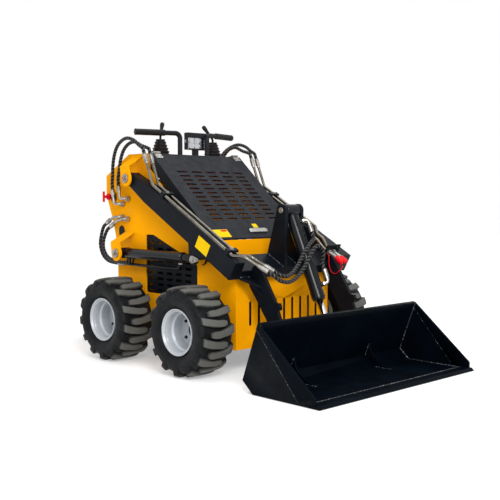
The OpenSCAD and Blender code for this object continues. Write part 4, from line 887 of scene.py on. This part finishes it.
# Small parts of the chassis: bolts are given by their head's corner radius
PIN_BOLT, PIN_HEAD_T = 0.011, 0.009
MESH_SCREW, MESH_SCREW_X = 0.005, -0.380
MESH_SCREW_ZS = (0.372, 0.438, 0.505, 0.571, 0.637, 0.676)
MESH_SCREWS = ((-0.25, 0.372), (-0.10, 0.372), (0.03, 0.372), (0.042, 0.47))
MOTOR_BOLT, MOTOR_BOLT_N, MOTOR_RING, MOTOR_FLANGE = 0.006, 8, 0.071, 0.012


def add_screws(word, side):
    out = LEFTWARD * side
    ends, screws, motors = Shape(), Shape(), Shape()
    for p in (PIVOT, LIFT_BASE):
        ends.bolt(Vector((p.x, side * (EAR_Y + PIN_HEAD_T), p.z)), out, PIN_BOLT)
    piece("pin_bolts_" + word, ends, ZINC, "chassis")
    for x, z in [(MESH_SCREW_X, z) for z in MESH_SCREW_ZS] + list(MESH_SCREWS):
        screws.bolt(Vector((x, side * INNER_Y, z)), out, MESH_SCREW)
    piece("mesh_screws_" + word, screws, PLASTIC, "chassis")
    for x in AXLE_X.values():
        for k in range(MOTOR_BOLT_N):
            a = 2 * math.pi * (k + 0.5) / MOTOR_BOLT_N
            at = Vector((x, side * (OUTER_Y + MOTOR_FLANGE), TYRE_R))
            motors.bolt(at + Vector((math.cos(a), 0, math.sin(a))) * MOTOR_RING, out, MOTOR_BOLT)
    piece("motor_bolts_" + word, motors, ZINC, "chassis")


# Grips and joysticks: profiles of a grip's mouth, one of its ribs, its end and a stick's knob
GRIP_ENDS = ((-0.385, 0.103, 1.265), (-0.460, 0.366, 1.265))
MOUTH_SHARE, RIB_FROM_SHARE, RIBBED_SHARE, RIB_N = 0.35, 0.37, 0.6, 22
GRIP_MOUTH = ((-0.002, 0.0145), (0, 0.018))
RIB = ((0, 0.0182), (0.002, 0.0182), (0.003, 0.0174), (0.0055, 0.0174))
GRIP_TIP = ((-0.004, 0.0185), (0.001, 0.0185), (0.003, 0.0155), (0.003, 0.001))
STICK_ROUTE = (
    (STICK_X, STICK_Y, CONSOLE_Z + 0.044), (STICK_X, STICK_Y, CONSOLE_Z + 0.105), (-0.475, 0.163, 1.313),
)
STICK_BEND, STICK_R, KNOB_LAP = 0.020, 0.0065, 0.040
KNOB = [
    (0, 0.0075), (0.003, 0.0095), (0.018, 0.0100), (0.034, 0.0122), (0.046, 0.0132), (0.054, 0.0112),
    (0.058, 0.006), (0.059, 0.001),
]


def add_controls(word, side):
    a, b = mirrored(GRIP_ENDS, side)
    length = (b - a).length
    profile = [(length * MOUTH_SHARE + s, r) for s, r in GRIP_MOUTH]
    for k in range(RIB_N):
        from_a = length * (RIB_FROM_SHARE + RIBBED_SHARE * k / RIB_N)
        profile += [(from_a + s, r) for s, r in RIB]
    profile += [(length + s, r) for s, r in GRIP_TIP]
    grip = Shape().lathe(a, (b - a).normalized(), profile, 28)
    piece("grip_" + word, grip, RUBBER, "chassis")
    foot, neck, top = mirrored(STICK_ROUTE, side)
    stick = Shape().tube(bent_path([foot, neck, top], STICK_BEND), STICK_R, 14)
    aim = (top - neck).normalized()
    stick.lathe(top - aim * KNOB_LAP, aim, KNOB)
    piece("stick_" + word, stick, PLASTIC, "chassis", ["joysticks"])


# Hood hinges: screws on the console's leaf, and a flap on the hood with its own
HINGE_Y, HINGE_HALF, LEAF_SCREW_X, LEAF_T = 0.298, 0.023, -0.375, 0.004
FLAP_SPAN, FLAP_T, FLAP_SCREW_AT = (0.004, 0.040), 0.003, 0.026
HINGE_SCREW, HINGE_SCREW_YS = 0.0045, (-0.013, 0.013)


def add_hinge(word, side):
    y = side * HINGE_Y
    hinge, flap = Shape(), Shape()
    for dy in HINGE_SCREW_YS:
        hinge.bolt(Vector((LEAF_SCREW_X, y + dy, CONSOLE_Z + LEAF_T)), UPWARD, HINGE_SCREW)
    piece("hinge_screws_" + word, hinge, ZINC, "chassis")
    near, far = FLAP_SPAN
    corners = ((near, -HINGE_HALF), (near, HINGE_HALF), (far, HINGE_HALF), (far, -HINGE_HALF))
    flap.prism([on_hood(a, y + dy) for a, dy in corners], HOOD_UP * FLAP_T)
    for dy in HINGE_SCREW_YS:
        flap.bolt(on_hood(FLAP_SCREW_AT, y + dy, FLAP_T), HOOD_UP, HINGE_SCREW)
    piece("hinge_flap_" + word, flap, ZINC, "hood")


for word, side in SIDES:
    add_screws(word, side)
    add_controls(word, side)
    add_hinge(word, side)

# Red paint mark on the right pivot's bolt
MARK_OFF, MARK_UP = 0.001, 0.0202
MARK = [(0, 0.006), (0.0006, 0.005)]
mark_at = Vector((PIVOT.x + MARK_OFF, -(EAR_Y + MARK_UP), PIVOT.z + MARK_OFF))
piece("pin_mark", Shape().lathe(mark_at, -LEFTWARD, MARK, 14), RED, "chassis")

# Work lamp: six lights in a mirrored tray below a visor, with fins behind
LAMP_X, LAMP_Y, LAMP_Z, LAMP_W, LAMP_H, LAMP_D = -0.404, 0.040, 1.176, 0.146, 0.100, 0.030
LIGHT_X, LIGHT_Z, LIGHT_PITCH = -0.0052, 0.038, (0.042, 0.030)
CUP = [(0, 0.008), (0.001, 0.013), (0.0045, 0.0195), (0.0052, 0.0202), (0.0052, 0.0185)]
BULB = [(0.0008, 0.0078), (0.0028, 0.0072), (0.0044, 0.0046), (0.005, 0.0008)]
TRAY_X, TRAY_T = -0.0058, 0.0008
TRAY = ((-0.064, 0.009), (0.064, 0.009), (0.064, 0.090), (-0.064, 0.090))
VISOR = ((-0.005, 0.071), (0.007, 0.071), (0.009, 0.075), (0.004, LAMP_H), (-0.005, LAMP_H))
LAMP_SCREW, LAMP_SCREW_YS, LAMP_SCREW_Z = 0.003, (-0.066, 0.066), 0.006
LAMP_PIVOT, LAMP_PIVOT_X = 0.006, -0.015
FIN_N, FIN_FROM, FIN_PITCH, FIN_L, FIN_LAP = 7, 0.012, 0.010, 0.009, 0.001
FIN = ((0.062, 0), (-0.062, 0), (-0.062, 0.003), (0.062, 0.003))


def on_lamp(x, y, z):
    return Vector((LAMP_X + x, LAMP_Y + y, LAMP_Z + z))


tray, lights, lamp_bolts, fins = Shape(), Shape(), Shape(), Shape()
for row in (-0.5, 0.5):
    for column in (-1, 0, 1):
        at = on_lamp(LIGHT_X, column * LIGHT_PITCH[0], LIGHT_Z + row * LIGHT_PITCH[1])
        tray.lathe(at, FORWARD, CUP, 4, math.pi / 4)
        lights.lathe(at, FORWARD, BULB, 20)
tray.prism([on_lamp(TRAY_X, y, z) for y, z in TRAY], FORWARD * TRAY_T)
piece("lamp_tray", tray, REFLECTOR, "chassis", ["lamp_lens"])
piece("lamp_lights", lights, LED, "chassis")
visor = Shape().prism([on_lamp(x, -LAMP_W / 2, z) for x, z in VISOR], LEFTWARD * LAMP_W)
piece("lamp_visor", visor, PLASTIC, "chassis", edge=0.001)
for y in LAMP_SCREW_YS:
    lamp_bolts.bolt(on_lamp(0, y, LAMP_SCREW_Z), FORWARD, LAMP_SCREW)
for side in (-1, 1):
    lamp_bolts.bolt(on_lamp(LAMP_PIVOT_X, side * LAMP_W / 2, LAMP_H / 2), LEFTWARD * side, LAMP_PIVOT)
piece("lamp_screws", lamp_bolts, ZINC, "chassis")
for k in range(FIN_N):
    foot = FIN_FROM + FIN_PITCH * k
    fins.prism([on_lamp(FIN_LAP - LAMP_D, y, foot + z) for y, z in FIN], FORWARD * -FIN_L)
piece("lamp_fins", fins, PLASTIC, "chassis")

# Standing deck: raised lozenges, turned by turns, in steps of (share of the outline, height)
DECK_Z, TREAD_FROM, TREAD_N, TREAD_PITCH = 0.257, (-1.112, -0.270), (14, 19), (0.0297, 0.030)
LOZENGE = (
    (0.012, 0), (0.004, 0.0034), (-0.004, 0.0034), (-0.012, 0), (-0.004, -0.0034), (0.004, -0.0034),
)
LOZENGE_STEPS = ((1.0, -0.0005), (0.95, 0.001), (0.6, 0.0018))
tread = Shape()
for i in range(TREAD_N[0]):
    for j in range(TREAD_N[1]):
        x = TREAD_FROM[0] + i * TREAD_PITCH[0]
        y = TREAD_FROM[1] + j * TREAD_PITCH[1]
        turn = math.pi / 4 if (i + j) % 2 else -math.pi / 4
        c, s = math.cos(turn), math.sin(turn)
        outline = [(a * c - b * s, a * s + b * c) for a, b in LOZENGE]
        tread.rings([[(x + k * a, y + k * b, DECK_Z + z) for a, b in outline] for k, z in LOZENGE_STEPS])
piece("deck_tread", tread, BLACK, "chassis")

# Blank plates: those on the hood are (from, to) along it, then across it
PLATE_T = 0.0006
HOOD_PLATES = ((0.632, 0.690, -0.326, -0.206), (0.595, 0.625, 0.004, 0.038))
HOOD_BAND = (0.635, 0.648, -0.252, -0.212)
ARM_PLATE = ((0.668, -0.036), (0.768, -0.036), (0.768, 0.031), (0.668, 0.031))


def hood_plate(shape, a0, a1, y0, y1, up=0.0):
    corners = [on_hood(a, y, up) for a, y in ((a0, y0), (a1, y0), (a1, y1), (a0, y1))]
    shape.prism(corners, HOOD_UP * PLATE_T)


plates, band, arm_plates = Shape(), Shape(), Shape()
for plate in HOOD_PLATES:
    hood_plate(plates, *plate)
piece("hood_plates", plates, STICKER, "hood")
hood_plate(band, *HOOD_BAND, PLATE_T)
piece("hood_band", band, STICKER_RED, "hood")
for word, side in SIDES:
    arm_plates.prism([arm_at(t, n, side * ARM_OUT) for t, n in ARM_PLATE], LEFTWARD * side * PLATE_T)
piece("arm_plates", arm_plates, STICKER, "boom")

# Bolts of the boom: clamps, pin plates and the tower's pin
CLAMP_SHARES = ((-1, 0.30), (-1, 0.90), (1, 0.30))
CLAMP_MID, CLAMP_TOP, CLAMP_Y, CLAMP_BOLT = 0.013, 0.0785, 0.4055, 0.0065
PIN_PLATE_T, PLATE_BOLT, PLATE_BOLT_X = 0.008, 0.006, 0.036
LIFT_PIN = [(0, 0.012), (0.003, 0.012), (0.004, 0.010), (0.004, 0.004)]
TOWER_OUT = 0.068
TOWER_PIN_END = [(-0.002, 0.015), (0.003, 0.015), (0.0045, 0.0135), (0.0045, 0.004)]
fasteners, pin_ends = Shape(), Shape()
for s, share in CLAMP_SHARES:
    fasteners.bolt(arm_at(share * ARM_L + CLAMP_MID, CLAMP_TOP, s * CLAMP_Y), OFF_ARM, CLAMP_BOLT)
for side in (-1, 1):
    out = LEFTWARD * side
    at = Vector((LIFT_EYE.x, side * (ARM_OUT + PIN_PLATE_T), LIFT_EYE.z))
    fasteners.bolt(at + FORWARD * PLATE_BOLT_X, out, PLATE_BOLT)
    fasteners.lathe(at, out, LIFT_PIN, 24)
    pin_ends.lathe(Vector((TOWER_PIN.x, side * TOWER_OUT, TOWER_PIN.z)), out, TOWER_PIN_END, 28)
piece("boom_bolts", fasteners, ZINC, "boom")
piece("tower_pin_ends", pin_ends, PIN_END, "boom")

# Weld beads: four rings to a ripple, which swells and wanders by shares of the radius
RIPPLE, LEAST, WANDER, WANDER_RATE, END_SHARE, BEAD_SIDES = 4, 0.78, 0.15, 1.7, 0.4, 8


def weld(shape, a, b, r=0.0035, step=0.006):
    path = finely([Vector(a), Vector(b)], step / RIPPLE)
    last = len(path) - 1
    e, g = across((path[last] - path[0]).normalized())
    turns = [2 * math.pi * j / BEAD_SIDES for j in range(BEAD_SIDES)]
    rings = []
    for i, p in enumerate(path):
        swell = r * (LEAST + (1 - LEAST) * abs(math.sin(math.pi * i / RIPPLE)))
        swell *= END_SHARE if i in (0, last) else 1.0
        mid = p + e * WANDER * r * math.sin(i * WANDER_RATE)
        rings.append([mid + (e * math.cos(t) + g * math.sin(t)) * swell for t in turns])
    shape.rings(rings)


# Welds of the boom on one side, each from a place to another: along the arm, off it and outwards
BOOM_WELDS = (
    ((0.825, 0.001, 0.048), (0.960, 0.001, 0.048)), ((0.825, 0.001, 0.068), (0.960, 0.001, 0.068)),
    ((0.822, -0.049, 0.3695), (0.822, -0.002, 0.3695)), ((0.826, 0.0, 0.3695), (0.964, 0.0, 0.3695)),
    ((0.826, -0.050, 0.296), (0.960, -0.050, 0.296)), ((0.967, -0.036, 0.300), (0.967, -0.036, 0.366)),
)
# Welds of the bucket on one side: radius, outward places, and the bead's ends as (forward, up)
INNER_HEEL, INNER_BASE = (0.672, 0.064), (0.733, 0.011)
SEAM_R, GUSSET_R = 0.004, 0.0025
BUCKET_WELDS = (
    (SEAM_R, (0.590,), (0.772, 0.323), INNER_HEEL), (SEAM_R, (0.590,), INNER_HEEL, INNER_BASE),
    (SEAM_R, (0.590,), INNER_BASE, (1.060, 0.011)), (GUSSET_R, (0.285, 0.295), (0.697, 0.127), INNER_HEEL),
    (GUSSET_R, (0.285, 0.295), INNER_BASE, (0.842, 0.011)),
)
BUCKET_TOP, BUCKET_HEEL = Vector((0.764, 0, 0.329)), Vector((0.663, 0, 0.060))
STRIP_YS, STRIP_DROP, STRIP_FOOT = (0.592, 0.600), 0.026, Vector((1.009, 0, 0.017))
EAR_WELD_Y, EAR_WELD_UP, EAR_WELD_OUT, EAR_WELD_L = 0.350, 0.030, 0.001, 0.212
EDGE_SEAM, EDGE_SEAM_R, EDGE_SEAM_STEP = ((1.064, -0.580, 0.0165), (1.064, 0.580, 0.0165)), 0.003, 0.012
back_up = (BUCKET_TOP - BUCKET_HEEL).normalized()
back_out = Vector((-back_up.z, 0, back_up.x))
strip_head = BUCKET_TOP - back_up * STRIP_DROP
ear_foot = BUCKET_HEEL + back_up * EAR_WELD_UP + back_out * EAR_WELD_OUT
boom_welds, bucket_welds = Shape(), Shape()
for s in (-1, 1):
    for ends in BOOM_WELDS:
        weld(boom_welds, *[arm_at(t, n, s * y) for t, n, y in ends])
    for r, ys, *ends in BUCKET_WELDS:
        for y in ys:
            weld(bucket_welds, *[(x, s * y, z) for x, z in ends], r)
    for y in STRIP_YS:
        weld(bucket_welds, strip_head + LEFTWARD * s * y, STRIP_FOOT + LEFTWARD * s * y, GUSSET_R)
    foot = ear_foot + LEFTWARD * s * EAR_WELD_Y
    weld(bucket_welds, foot, foot + back_up * EAR_WELD_L, SEAM_R)
weld(bucket_welds, *EDGE_SEAM, EDGE_SEAM_R, EDGE_SEAM_STEP)
piece("boom_welds", boom_welds, WELD, "boom", angle=60)
piece("bucket_welds", bucket_welds, WELD, "bucket", angle=60)

# Floor, light and camera
WHITE = (1.0, 1.0, 1.0, 1)
FLOOR_SIZE, FLOOR_TONE, FLOOR_ROUGH, FLOOR_SHINE, FLOOR_GLOW = 60, (0.80, 0.80, 0.80, 1), 0.9, 0.1, 0.34
SKY_LIGHT, SKY_SEEN = 0.82, 1.0
CAMERA_AT, CAMERA_YAW, CAMERA_PITCH = (3.449, -3.237, 0.884), math.radians(136.05), math.radians(-3.41)
SENSOR, LENS, CLIP_END = 36, 61.09, 100


def seen_share(tree):
    """1 for rays from the camera and for those a mirror or glass sends on."""
    rays = add_node(tree, "ShaderNodeLightPath")
    seen = rays.outputs["Is Camera Ray"]
    for kind in ("Is Glossy Ray", "Is Transmission Ray"):
        either = add_node(tree, "ShaderNodeMath", operation="MAXIMUM")
        tree.links.new(seen, either.inputs[0])
        tree.links.new(rays.outputs[kind], either.inputs[1])
        seen = either.outputs[0]
    return seen


def make_floor():
    bpy.ops.mesh.primitive_plane_add(size=FLOOR_SIZE, location=(0, 0, 0))
    floor = bpy.context.object
    floor.name = "floor"
    coat, tree, shader = new_material("floor_white")
    shader.inputs["Base Color"].default_value = FLOOR_TONE
    shader.inputs["Roughness"].default_value = FLOOR_ROUGH
    shader.inputs["Specular IOR Level"].default_value = FLOOR_SHINE
    glow = add_node(tree, "ShaderNodeEmission", Color=WHITE)
    lift = add_node(tree, "ShaderNodeMath", operation="MULTIPLY")
    lift.inputs[1].default_value = FLOOR_GLOW
    tree.links.new(seen_share(tree), lift.inputs[0])
    tree.links.new(lift.outputs[0], glow.inputs["Strength"])
    both = add_node(tree, "ShaderNodeAddShader")
    tree.links.new(shader.outputs[0], both.inputs[0])
    tree.links.new(glow.outputs[0], both.inputs[1])
    tree.links.new(both.outputs[0], tree.nodes["Material Output"].inputs["Surface"])
    floor.data.materials.append(coat)


def make_world():
    world = bpy.data.worlds.new("studio")
    bpy.context.scene.world = world
    world.use_nodes = True
    tree = world.node_tree
    sky = tree.nodes["Background"]
    sky.inputs["Color"].default_value = WHITE
    spread = add_node(tree, "ShaderNodeMapRange", **{"To Min": SKY_LIGHT, "To Max": SKY_SEEN})
    tree.links.new(seen_share(tree), spread.inputs["Value"])
    tree.links.new(spread.outputs["Result"], sky.inputs["Strength"])


def area_light(name, at, target, size, power):
    data = bpy.data.lights.new(name, "AREA")
    data.size = size
    data.energy = power
    lamp = linked(name, data)
    lamp.location = at
    lamp.rotation_euler = (Vector(target) - Vector(at)).to_track_quat("-Z", "Y").to_euler()


def make_camera():
    data = bpy.data.cameras.new("camera")
    data.sensor_width = SENSOR
    data.lens = LENS
    data.clip_end = CLIP_END
    camera = linked("camera", data)
    level = math.cos(CAMERA_PITCH)
    look = Vector((math.cos(CAMERA_YAW) * level, math.sin(CAMERA_YAW) * level, math.sin(CAMERA_PITCH)))
    camera.location = CAMERA_AT
    camera.rotation_euler = look.to_track_quat("-Z", "Y").to_euler()
    bpy.context.scene.camera = camera


make_floor()
make_world()
area_light("key", (3.4, -2.4, 2.6), (0, 0, 0.6), 1.6, 130)
area_light("top", (0.2, 0.6, 4.2), (0, 0, 0.5), 2.5, 48)
make_camera()
bpy.context.scene.view_settings.view_transform = "Standard"
